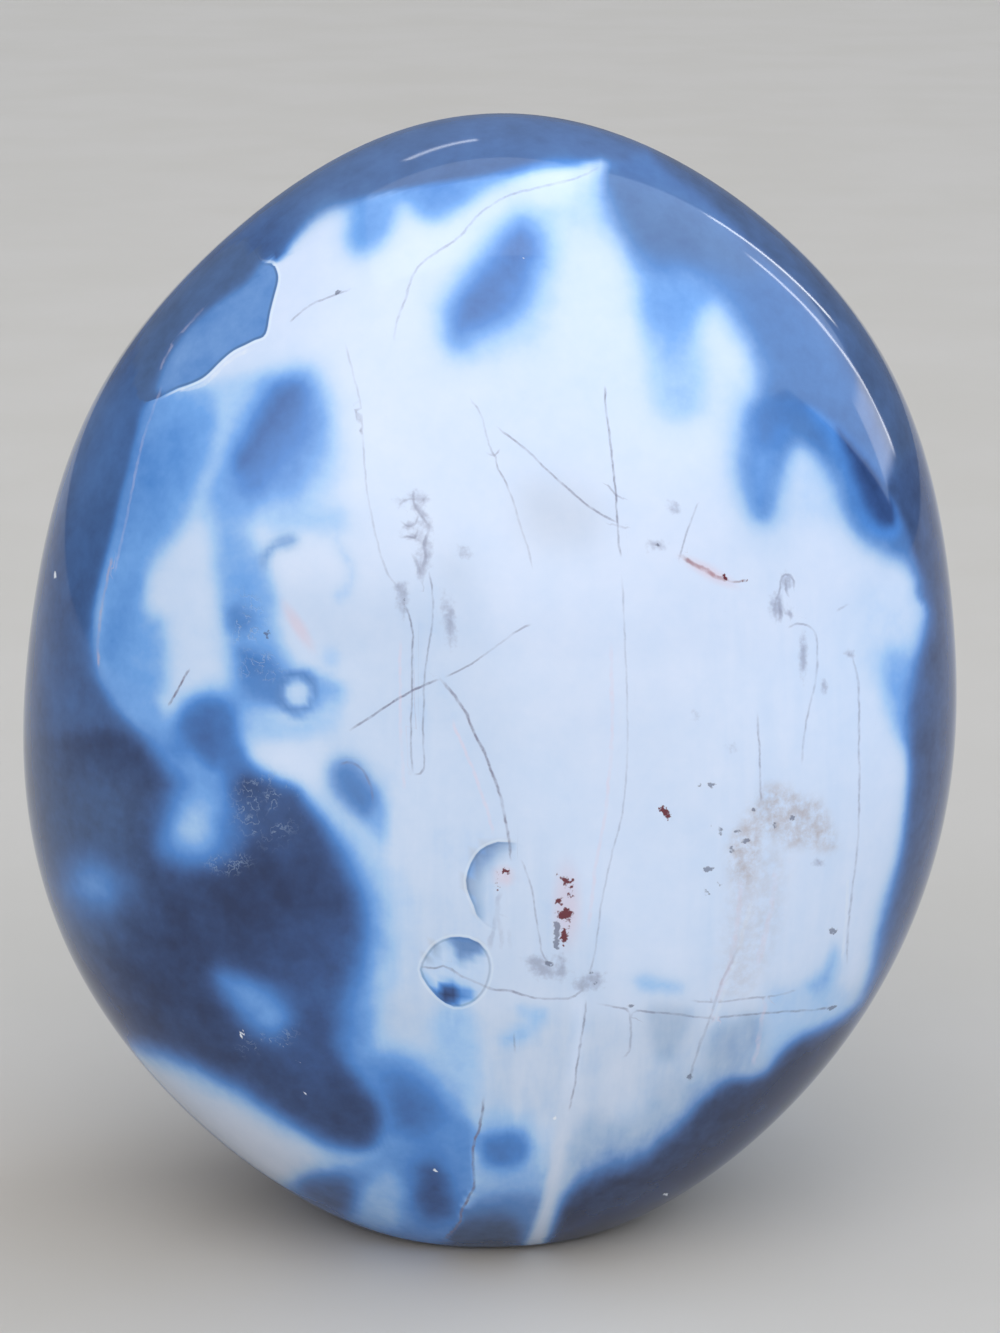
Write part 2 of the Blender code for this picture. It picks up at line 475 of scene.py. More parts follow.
# %% Clouds of the left side
LEFT_CLOUDS = (
    ("pale streak", 0.27, 1.8, (
        (214, 380), (266, 374), (257, 402), (247, 430), (235, 460), (221, 500), (206, 540),
        (194, 540), (203, 496), (216, 450), (222, 412))),
    ("left pale", 0.12, 2.0, (
        (150, 530), (210, 520), (222, 560), (224, 640), (226, 700), (180, 706), (150, 640))),
    ("left field", 0.44, 1.5, (
        (150, 380), (180, 384), (203, 386), (216, 394), (221, 412), (216, 444), (207, 468),
        (200, 488), (193, 506), (183, 527), (169, 546), (156, 561), (146, 580), (136, 600),
        (100, 600), (90, 500), (110, 400))),
    ("left blue", 0.52, 2.4, (
        (138, 440), (156, 446), (170, 430), (190, 418), (206, 420), (207, 440), (198, 458),
        (187, 478), (181, 497), (167, 514), (150, 530), (139, 545), (128, 560), (116, 560),
        (112, 520), (118, 470))),
    ("left lobe's shade", 0.28, 2.2, (
        (300, 440), (334, 436), (344, 470), (330, 500), (300, 520), (270, 520))),
    ("left lobe", 0.62, 3.0, (
        (287, 374), (304, 368), (317, 376), (326, 398), (329, 422), (322, 444), (312, 463),
        (301, 486), (286, 503), (262, 513), (243, 518), (225, 513), (218, 498), (222, 480),
        (233, 463), (242, 441), (251, 419), (262, 397), (274, 381))),
    ("left lobe's core", 0.76, 2.2, (
        (276, 386), (298, 386), (300, 405), (284, 432), (262, 460), (240, 472), (234, 456),
        (247, 430), (260, 404))),
    ("shade over the upper ring", 0.32, 2.2, (
        (276, 502), (300, 508), (340, 506), (348, 522), (336, 534), (300, 530), (274, 526))),
    ("left veil", 0.43, 1.5, (
        (220, 488), (240, 496), (250, 512), (250, 528), (258, 545), (265, 560), (272, 578),
        (278, 600), (280, 622), (286, 645), (296, 664), (298, 690), (288, 708), (266, 716),
        (248, 714), (232, 706), (226, 690), (227, 665), (224, 640), (217, 600), (212, 545),
        (214, 510))),
    ("shade under the ring", 0.30, 1.4, (
        (250, 712), (300, 718), (340, 706), (334, 728), (290, 742), (252, 738))),
    ("blue under the rough patch", 0.64, 1.3, (
        (240, 648), (256, 652), (274, 660), (282, 674), (285, 692), (281, 704), (268, 702),
        (252, 698), (243, 686), (239, 665))),
    ("rough blue patch", 0.58, 1.2, (
        (228, 610), (240, 605), (252, 613), (254, 625), (244, 633), (230, 629))),
    ("left blue foot", 0.46, 1.5, (
        (140, 560), (140, 580), (142, 598), (152, 614), (164, 622), (168, 650), (168, 690),
        (163, 700), (168, 718), (178, 735), (188, 755), (170, 765), (140, 742), (112, 714),
        (98, 690), (94, 650), (96, 620), (104, 590), (118, 560))),
    ("left foot's dark side", 0.52, 1.2, (
        (104, 630), (112, 612), (122, 590), (134, 572), (142, 590), (134, 620), (122, 644),
        (112, 660), (104, 656))),
    ("left rim", 0.83, 0.6, (
        (285, 256, 0.5), (262, 262, 0.5), (242, 284, 0.5), (224, 306, 0.5), (208, 319, 0.5),
        (189, 336, 0.5), (177, 353, 0.5), (166, 374, 0.5), (154, 393), (141, 412),
        (134, 440, 0.4), (127, 470, 0.4), (119, 500, 0.4), (113, 530, 0.5), (105, 560, 0.5),
        (98, 590, 0.6), (94, 620, 0.8), (94, 650, 1), (100, 680, 1), (113, 704, 1),
        (134, 726, 1), (156, 746, 1), (174, 768, 1.1), (182, 790, 1.2), (60, 900),
        (-60, 800), (-60, 500), (60, 240, 4), (200, 150, 5), (285, 200, 4))),
    ("left rim's shoulder", 0.74, 5.0, (
        (96, 390), (128, 396), (120, 450), (100, 500), (30, 500), (60, 420))),
    ("slate beside the wisp", 0.78, 1.8, (
        (176, 714), (186, 700), (204, 692), (224, 695), (238, 710), (241, 735), (240, 752),
        (230, 768), (210, 776), (196, 764), (182, 748), (173, 730))),
    ("teal ring's side", 0.42, 1.0, (
        (300, 668), (322, 674), (344, 684), (344, 698), (328, 708), (304, 716), (290, 700))),
    ("teal ring", 0.64, 0.6, (
        (296, 671), (307, 673), (316, 681), (316, 696), (309, 710), (296, 716), (283, 710),
        (275, 698), (277, 683), (285, 674))),
    ("teal ring's eye", 0.20, 0.6, (
        (298, 680), (307, 684), (310, 694), (306, 704), (297, 707), (288, 702), (285, 692),
        (289, 683))),
    ("upper ring's arc", 0.46, 0.7, (
        (260, 560), (266, 547), (278, 537), (291, 534), (298, 541), (290, 548), (278, 549),
        (270, 557), (264, 568))),
    ("upper ring's right arc", 0.24, 0.8, (
        (336, 540), (348, 552), (356, 572), (352, 592), (340, 602), (334, 596), (345, 582),
        (346, 566), (338, 552))),
    ("teal spot", 0.26, 0.8, ((322, 652), (332, 648), (340, 656), (336, 668), (325, 666))),
)

# %% [markdown]
# ### The lower face
#
# The lower left is one large dark window of clear stone with small blue windows in it.
# A dark band runs up the right edge, and white hangs in folds over the foot. How far a
# cloud is grey rather than blue is kept by its name, because the same outlines are
# painted a second time with those shares in place of their levels. Mostly that grey is
# the stone's own slate, but along the rim bands it is a painted reflection: a grey veil
# for what the polish mirrors.

# %% Clouds of the lower face
LOWER_CLOUDS = (
    ("window's brow", 0.72, 1.2, (
        (222, 742), (240, 744), (250, 758), (272, 775), (300, 791), (292, 806), (250, 806),
        (222, 792))),
    ("window's halo", 0.20, 1.6, (
        (350, 830), (384, 848), (404, 880), (412, 910), (408, 950), (394, 985), (380, 1020),
        (392, 1050), (340, 1050), (320, 900))),
    ("window's low halo", 0.17, 1.7, (
        (106, 1028), (200, 1070), (300, 1126), (350, 1150), (344, 1172), (312, 1164),
        (272, 1140), (228, 1114), (190, 1096), (150, 1076), (120, 1058))),
    ("window's strip", 0.34, 1.2, (
        (346, 958), (366, 958), (374, 1000), (376, 1040), (388, 1062), (400, 1090),
        (396, 1130), (376, 1134), (350, 1070), (340, 1000))),
    ("lower left window", 0.96, 2.6, (
        (244, 777, 0.9), (262, 782, 1.3), (282, 789, 1.5), (301, 800, 1.7), (318, 816, 2),
        (332, 837, 2.3), (343, 858, 2.6), (352, 880, 2.7), (359, 904, 2.7), (361, 930, 2.7),
        (355, 950, 2.4), (344, 972, 2), (334, 1000, 2), (332, 1030, 1.8), (341, 1058, 1.5),
        (362, 1078, 1.3), (378, 1096, 1.1), (386, 1120, 1), (381, 1143, 1.1),
        (362, 1153, 1.2), (330, 1147, 1.5), (298, 1130, 1.7), (266, 1109, 1.8),
        (233, 1089, 1.8), (203, 1074, 1.8), (174, 1061, 1.9), (148, 1052, 2),
        (122, 1050, 2), (60, 1070), (-40, 800), (90, 730, 1), (150, 752, 1),
        (174, 782, 1.4), (200, 802, 1.6), (226, 800, 1.6))),
    ("window's shoulder", 0.86, 2.5, (
        (226, 806), (262, 792), (296, 808), (316, 846), (290, 872), (250, 884), (228, 862))),
    ("window's core", 1.0, 6.0, (
        (244, 850), (310, 850), (334, 900), (330, 940), (280, 960), (236, 920))),
    ("window's grey side", 0.84, 5.0, (
        (20, 750), (90, 770), (140, 790), (140, 850), (120, 930), (90, 960), (20, 960))),
    ("window's blue side", 0.87, 5.0, (
        (296, 930), (350, 930), (350, 1010), (340, 1080), (280, 1060), (270, 990))),
    ("blue halo", 0.70, 1.6, (
        (152, 745), (174, 752), (196, 770), (215, 778), (232, 790), (238, 812), (244, 832),
        (240, 850), (220, 865), (196, 868), (170, 865), (157, 852), (158, 828), (165, 800),
        (170, 783), (160, 765))),
    ("halo's wisp", 0.50, 1.6, (
        (160, 742), (180, 756), (204, 776), (222, 790), (222, 812), (204, 806), (186, 780),
        (166, 758))),
    ("pale eye", 0.24, 2.4, (
        (188, 804), (206, 808), (214, 830), (204, 848), (184, 846), (174, 828))),
    ("left eye", 0.53, 2.8, (
        (86, 862), (100, 866), (113, 877), (119, 889), (113, 903), (98, 908), (80, 906),
        (66, 892), (74, 872))),
    ("long eye", 0.49, 1.8, (
        (215, 974), (240, 975), (261, 985), (278, 998), (288, 1014), (284, 1030),
        (266, 1035), (247, 1023), (229, 1004))),
    ("teal lobe's tail", 0.40, 0.9, (
        (362, 790), (378, 788), (388, 812), (388, 834), (382, 846), (372, 838),
        (362, 824))),
    ("teal lobe", 0.64, 1.5, (
        (329, 770), (336, 761), (348, 758), (360, 764), (370, 775), (376, 794), (374, 812),
        (364, 818), (350, 812), (338, 801), (329, 786))),
    ("low blue's side", 0.30, 1.5, (
        (430, 1020), (468, 1004), (484, 1050), (482, 1100), (462, 1110), (440, 1066))),
    ("pale low rim", 0.07, 2.0, (
        (140, 1078, 3), (158, 1080, 2.2), (190, 1096), (226, 1113), (260, 1131),
        (294, 1151), (322, 1168, 1.4), (316, 1184, 1.3), (296, 1192, 2), (272, 1216, 6),
        (200, 1190, 8), (140, 1120, 6))),
    ("low blue", 0.56, 2.0, (
        (364, 1062, 1.6), (382, 1054, 1.6), (400, 1050, 1.8), (418, 1054, 2.2),
        (434, 1066, 2.4), (449, 1086, 2.2), (463, 1108, 1.6), (478, 1130, 0.6),
        (472, 1165, 0.3), (474, 1187, 0.3), (466, 1201, 0.3), (461, 1213, 0.3),
        (458, 1225, 0.3), (446, 1270), (300, 1250), (270, 1200), (300, 1176), (340, 1164),
        (372, 1150), (384, 1110), (366, 1084))),
    ("low core", 0.74, 1.8, (
        (392, 1082), (414, 1082), (434, 1098), (440, 1120), (424, 1136), (400, 1130),
        (390, 1106))),
    ("low left spot", 0.87, 1.5, (
        (302, 1184), (322, 1177), (345, 1178), (353, 1195), (345, 1214), (325, 1214),
        (308, 1200))),
    ("low round spot", 0.86, 1.4, (
        (420, 1168), (434, 1163), (444, 1172), (449, 1188), (454, 1204), (448, 1216),
        (432, 1220), (420, 1212), (415, 1198), (419, 1182))),
    ("low pale patch", 0.35, 1.2, (
        (376, 1176), (392, 1172), (403, 1188), (400, 1212), (396, 1230), (370, 1228),
        (356, 1214), (364, 1192))),
    ("right of the fracture", 0.34, 2.0, (
        (480, 1118, 1.5), (500, 1110), (522, 1114), (542, 1126), (552, 1148), (560, 1170),
        (562, 1196), (556, 1220), (548, 1260), (466, 1260), (461, 1213, 0.3),
        (466, 1201, 0.3), (474, 1187, 0.3), (474, 1160, 0.3))),
    ("low right shade", 0.62, 1.6, (
        (468, 1208, 0.4), (484, 1198), (520, 1192), (546, 1198), (552, 1216), (546, 1250),
        (466, 1250), (461, 1213, 0.3), (466, 1208, 0.3))),
    ("blue spot", 0.67, 1.3, (
        (480, 1138), (500, 1132), (520, 1134), (528, 1148), (520, 1164), (500, 1168),
        (484, 1160))),
    ("slate at the foot", 0.86, 1.0, (
        (457, 1226, 0.4), (474, 1218), (496, 1213), (514, 1219), (520, 1234), (518, 1270),
        (440, 1270), (448, 1240, 0.3))),
    ("low veil", 0.30, 2.0, (
        (552, 1250), (556, 1194), (560, 1150), (574, 1120), (596, 1108), (622, 1116),
        (640, 1108), (654, 1086), (672, 1074), (704, 1072), (720, 1062), (740, 1056),
        (764, 1052), (782, 1040), (806, 1028), (834, 1014), (850, 998), (880, 996),
        (900, 1100), (700, 1300))),
    ("hanging shade", 0.29, 1.3, (
        (648, 1008), (690, 1010), (686, 1036), (670, 1060), (652, 1048))),
    ("second hanging shade", 0.36, 1.1, (
        (744, 1016), (762, 1018), (758, 1044), (744, 1048))),
    ("third hanging shade", 0.38, 1.6, (
        (706, 1052), (718, 1028), (742, 1024), (745, 1060), (728, 1072), (710, 1076))),
    ("right low veil", 0.26, 1.6, (
        (776, 990), (834, 984), (852, 1000), (846, 1026), (800, 1046), (770, 1060),
        (768, 1020))),
    ("lower right band", 0.99, 1.2, (
        (546, 1255, 0.7), (555, 1224, 0.8), (565, 1198, 1.1), (582, 1178, 1.6),
        (608, 1167, 2), (636, 1157, 1.9), (661, 1142, 1.6), (685, 1120, 1.3),
        (706, 1098, 1.1), (726, 1081, 1.2), (746, 1079, 1), (766, 1073, 0.9), (780, 1055, 1),
        (798, 1040, 1.1), (820, 1030, 1.1), (844, 1018, 1), (866, 1004, 0.9),
        (884, 985, 0.8), (960, 1000), (900, 1200), (700, 1320), (560, 1320))),
    ("low white run", 0.05, 0.5, (
        (574, 1000), (584, 1000), (583, 1036), (578, 1070), (571, 1100), (563, 1100),
        (569, 1066), (573, 1036))),
    ("foot streak", 0.10, 0.5, (
        (565, 1086, 0.8), (573, 1086, 0.8), (569, 1120), (565, 1152), (558, 1188),
        (550, 1218), (541, 1250), (526, 1250), (538, 1216), (546, 1186), (554, 1150),
        (560, 1118))),
    ("right field", 0.41, 1.6, (
        (884, 650), (900, 650), (912, 670), (912, 740), (896, 736), (884, 700),
        (878, 672))),
    ("right rim", 0.90, 1.2, (
        (850, 1024, 0.8), (862, 1001, 1), (870, 976, 1.2), (875, 950, 1.3), (880, 926, 1.4),
        (887, 901, 1.4), (894, 875, 1.3), (900, 850, 1.2), (904, 822, 1.1), (907, 792, 1),
        (908, 766, 1), (907, 742, 1.1), (907, 714, 1.2), (910, 690, 1.3), (915, 662, 1.3),
        (921, 640, 1.3), (926, 618, 1.2), (927, 598, 1), (923, 578, 0.7), (915, 555, 0.5),
        (907, 530, 0.5), (897, 505, 0.5), (890, 480, 0.6), (960, 440), (1040, 700),
        (980, 1000), (890, 1040))),
    ("faint spot", 0.28, 0.9, ((386, 962), (398, 964), (400, 978), (392, 986), (383, 978))),
    ("low shell", 0.36, 1.0, (
        (518, 1006), (545, 1008), (546, 1018), (540, 1028), (530, 1040), (514, 1044),
        (500, 1042), (510, 1030), (522, 1020))),
    ("left smudge", 0.30, 0.9, (
        (634, 980), (646, 974), (660, 978), (682, 984), (680, 993), (655, 992), (640, 990))),
    ("right smudge", 0.36, 1.0, (
        (806, 984), (822, 968), (834, 946), (840, 956), (838, 974), (830, 988), (812, 992))),
)

FACE_CLOUDS = MILKY_CLOUDS_AND_SHADE + UPPER_CLOUDS + LEFT_CLOUDS + LOWER_CLOUDS

# How far a cloud is grey: slate in the stone, and a painted reflection along the rim bands.
SLATE_AND_REFLECTION_SHARES = {  # how far a cloud is grey slate rather than blue
    "haze at the crossing": 0.5,
    "haze beside the twins": 0.4,
    "haze over the crescent": 0.5,
    "teal ring": 0.45,
    "teal lobe": 0.45,
    "rough blue patch": 0.3,
    "blue under the rough patch": 0.3,
    "upper ring's arc": 0.4,
    "crescent": 0.8,
    "shell's slate wedge": 0.7,
    "shell's grey wedge": 0.8,
    "window's shoulder": 0.3,
    "left rim's shoulder": 0.6,
    "milk at the left": 0.15,
    "milk at the foot": 0.3,
    # Painted reflection: in the top band and the upper right bands the grey share is a veil for
    # what the polish mirrors.
    "top band": 0.85,
    "upper right": 0.55,
    "upper right band under painted reflection": 0.95,
    "upper right rim": 0.9,
    "band beside the flake": 0.9,
    "flake": 0.35,
    "window's grey side": 0.7,
    "hanging shade": 0.6,
    "second hanging shade": 0.6,
    "third hanging shade": 0.6,
    "low veil": 0.5,
    "low right shade": 0.5,
    "arch shoulder": 0.3,
    # Painted reflection: the grey share of the left rim is a veil for what the polish mirrors.
    "left rim": 0.35,
    "lower left window": 0.15,
    "slate at the foot": 0.9,
    "foot streak": 0.3,
    "lower right band": 0.4,
    # Painted reflection: the grey share of the right rim is a veil for what the polish mirrors.
    "right rim": 0.5,
    "pale low rim": 0.6,
    "low left spot": 0.5,
}


def slate_and_reflection_clouds(clouds):
    """The same outlines, with their share of grey in place of their level: slate in the stone, and
    a painted reflection along the rim bands.
    """
    return [(name, SLATE_AND_REFLECTION_SHARES.get(name, 0.0), softness, outline)
            for name, _, softness, outline in clouds]


outer = paint(np.full(len(picture), WHITE_CLOUD), FACE_CLOUDS, picture)
# The grey share: slate in the stone, and along the rim bands a painted reflection.
slate = paint(np.zeros(len(picture)), slate_and_reflection_clouds(FACE_CLOUDS), picture)
print("clouds on the broad face:", len(FACE_CLOUDS))

# %% [markdown]
# ## Edges that are crisp
#
# A few shapes have a sharp edge, because a crack there cuts one part of the stone off
# from the next: the blue flake at the upper left, a round shell mark low in the middle
# and a crescent over it. Their edges are stored as a distance, which stays sharp between
# the corners of the mesh, and what lies inside is painted in a layer of its own.
# Stretches of these edges also show a thin dark line, with a painted highlight beside it where the
# edge catches the light.

# %% Flake and shell marks
FLAKE_EDGE = (
    (262, 264), (271, 261), (277, 271), (278, 281), (274, 297), (270, 313), (267, 330),
    (263, 337), (255, 340), (245, 345), (233, 351), (221, 361), (209, 373), (201, 379),
    (190, 384), (178, 388), (140, 400), (140, 340), (190, 280), (240, 240),
)
SHELL_EDGE = (
    (420, 967), (426, 955), (434, 945), (447, 938), (463, 937), (476, 941), (486, 950),
    (491, 964), (489, 980), (482, 994), (470, 1004), (455, 1007), (441, 1000), (430, 989),
    (422, 977),
)
CRESCENT_EDGE = (
    (503, 842), (491, 844), (480, 850), (472, 861), (467, 874), (466, 884), (469, 895),
    (474, 906), (479, 918), (500, 930), (530, 900), (530, 850),
)
OUTSIDE = -3.0  # millimetres at which the distance to a crisp edge stops counting
CRISP_CLOUDS = (
    ("band beside the flake", 0.81, 0.8, (
        (150, 240), (290, 240), (292, 300), (230, 350), (160, 410), (130, 380))),
    ("flake", 0.54, 0.6, (
        (262, 262), (251, 278), (236, 290), (218, 302), (202, 315), (188, 329), (177, 343),
        (168, 358), (160, 376), (158, 392), (182, 398, 1), (205, 396), (232, 376),
        (262, 356), (282, 340), (292, 290), (288, 250), (272, 254))),
    ("shell mark", 0.16, 0.6, (
        (412, 972), (422, 944), (450, 928), (480, 932), (496, 948), (490, 966, 1.4),
        (480, 984, 1.4), (476, 1002, 1.4), (458, 1016), (430, 1002))),
    ("shell's slate wedge", 0.56, 0.6, (
        (446, 930), (480, 930), (488, 944), (481, 953), (470, 958), (462, 963),
        (455, 950))),
    ("shell's grey wedge", 0.34, 0.5, (
        (424, 958), (430, 942), (442, 940), (436, 952), (428, 962))),
    ("shell's left rim", 0.45, 0.4, ((416, 972), (424, 972), (432, 986), (426, 992))),
    ("shell's blue foot", 0.60, 0.6, (
        (450, 986), (462, 988), (474, 990), (474, 998), (462, 1002), (448, 1004))),
    ("shell's navy spot", 0.98, 0.6, (
        (438, 990), (448, 984), (456, 990), (456, 1000), (446, 1004), (436, 998))),
    ("crescent", 0.46, 0.8, (
        (510, 832, 0.5), (490, 834, 0.5), (470, 846, 0.5), (458, 870, 0.5),
        (458, 890, 0.5), (468, 914, 0.8), (478, 916, 1), (478, 900, 1), (478, 884, 1.2),
        (484, 868, 1.2), (494, 856, 1), (508, 848, 0.8))),
)
# Where a crisp edge shows its thin dark line and its painted highlight.
EDGE_LINE_AND_HIGHLIGHT_PLACES = (  # where a crisp edge also shows as a dark and a bright line
    ("flake's open side", 1.0, 1.0, (
        (266, 266), (292, 262), (292, 320), (262, 356), (214, 384), (176, 402), (170, 388),
        (200, 368), (232, 340), (256, 324), (262, 290))),
    ("shell mark", 0.5, 1.0, (
        (406, 926), (470, 922), (500, 950), (500, 990), (468, 1020), (420, 1012),
        (404, 968))),
    ("crescent's back", 0.5, 1.0, (
        (508, 830), (480, 834), (454, 860), (452, 900), (474, 916), (486, 880),
        (504, 858))),
)


def crisp_depth(places):
    """Millimetres inside the nearest crisp edge, less than 0 outside them all."""
    edges = (FLAKE_EDGE, SHELL_EDGE, CRESCENT_EDGE)
    depths = [depth_inside(edge, places)[0] for edge in edges]
    return np.clip(np.maximum.reduce(depths), OUTSIDE, -OUTSIDE)


inner = paint(outer, CRISP_CLOUDS, picture)
crisp = crisp_depth(picture)
slate = np.where(crisp > 0.0, paint(slate, slate_and_reflection_clouds(CRISP_CLOUDS), picture), slate)
edge_line_and_highlight = paint(np.zeros(len(picture)), EDGE_LINE_AND_HIGHLIGHT_PLACES, picture)
print("corners inside a crisp edge:", int((crisp > 0).sum()))

# %% [markdown]
# ## Clouds behind and round the sides
#
# No photograph shows the back, so it is made up in the same manner: a white cloud with
# blue windows in dark, clear stone. Its outlines are in millimetres, seen from behind
# and measured from the stone's middle. They are very soft, and the finish breaks them
# up with noise and hardens them again. The two faces meet in the dark rim, where the
# surface turns away from the camera.

# %% Clouds of the back
TURNING_AWAY = (0.0, 0.16)  # the cosines over which the broad face's clouds end
RIM_LEVEL = 0.86
RIM_SLATE = 0.5

BACK_CLOUDS = (
    ("great cloud", 0.05, 8.0, (
        (-6, 44), (12, 45), (24, 34), (31, 12), (33, -6), (27, -24), (12, -38), (-6, -36),
        (-20, -22), (-33, -6), (-32, 14), (-22, 32))),
    ("dark window", 0.95, 6.0, (
        (-27, 8), (-15, 10), (-7, 1), (-9, -12), (-20, -16), (-30, -6))),
    ("crown lobe", 0.75, 5.0, (
        (-2, 52), (8, 50), (10, 36), (5, 20), (-3, 24), (-6, 38))),
    ("side lobe", 0.80, 5.0, (
        (40, 22), (25, 20), (12, 12), (14, 2), (26, 2), (40, 2))),
    ("low lobe", 0.85, 5.0, (
        (6, -46), (8, -32), (12, -18), (22, -20), (24, -32), (26, -44))),
)


def seen_from_behind(points):
    """Millimetres to the right of the middle and above it, seen from behind."""
    return np.column_stack((-points[:, 0], points[:, 2] - MIDDLE_HEIGHT))


def facing_camera(points, normals):
    """The cosine between each corner's normal and the way to the camera."""
    towards = CAMERA_PLACE - points
    towards /= np.linalg.norm(towards, axis=1, keepdims=True)
    return np.sum(normals * towards, axis=1)


behind = paint(np.full(len(corners), RIM_LEVEL), BACK_CLOUDS, seen_from_behind(corners), 1.0)
start, end = TURNING_AWAY
on_face = ease((facing_camera(corners, normals) - start) / (end - start))
outer = behind + (outer - behind) * on_face
inner = behind + (inner - behind) * on_face
slate = RIM_SLATE + (slate - RIM_SLATE) * on_face
crisp = OUTSIDE + (crisp - OUTSIDE) * on_face
print("share of the skin that the broad face holds:", round(float(on_face.mean()), 2))

# %% [markdown]
# ## Healed cracks
#
# The stone cracked many times and silica closed the cracks again. Most show as grey
# hairlines, some are pale, and a few took in rust. A line has the half-width of its
# dark core in millimetres, its strength, and its tone, which runs from pale over pink
# and grey to rust. Lines that cross are kept in different layers, because each layer
# only knows the nearest one.

# %% Cracks
CRACK_FADE = (0.45, 1.0)  # millimetres beside a line where its strength is lost
CRACK_ENDS = 0.07  # share of a line over which each end fades
FAR_AWAY = 100.0  # half-widths, where no line is near
PALE, PINK, GREY, RUST = 0.0, 0.25, 0.5, 1.0  # places on the ramp of crack colours
DEEP_PINK, BROWN, LIGHT_BROWN = 0.36, 0.6, 0.56

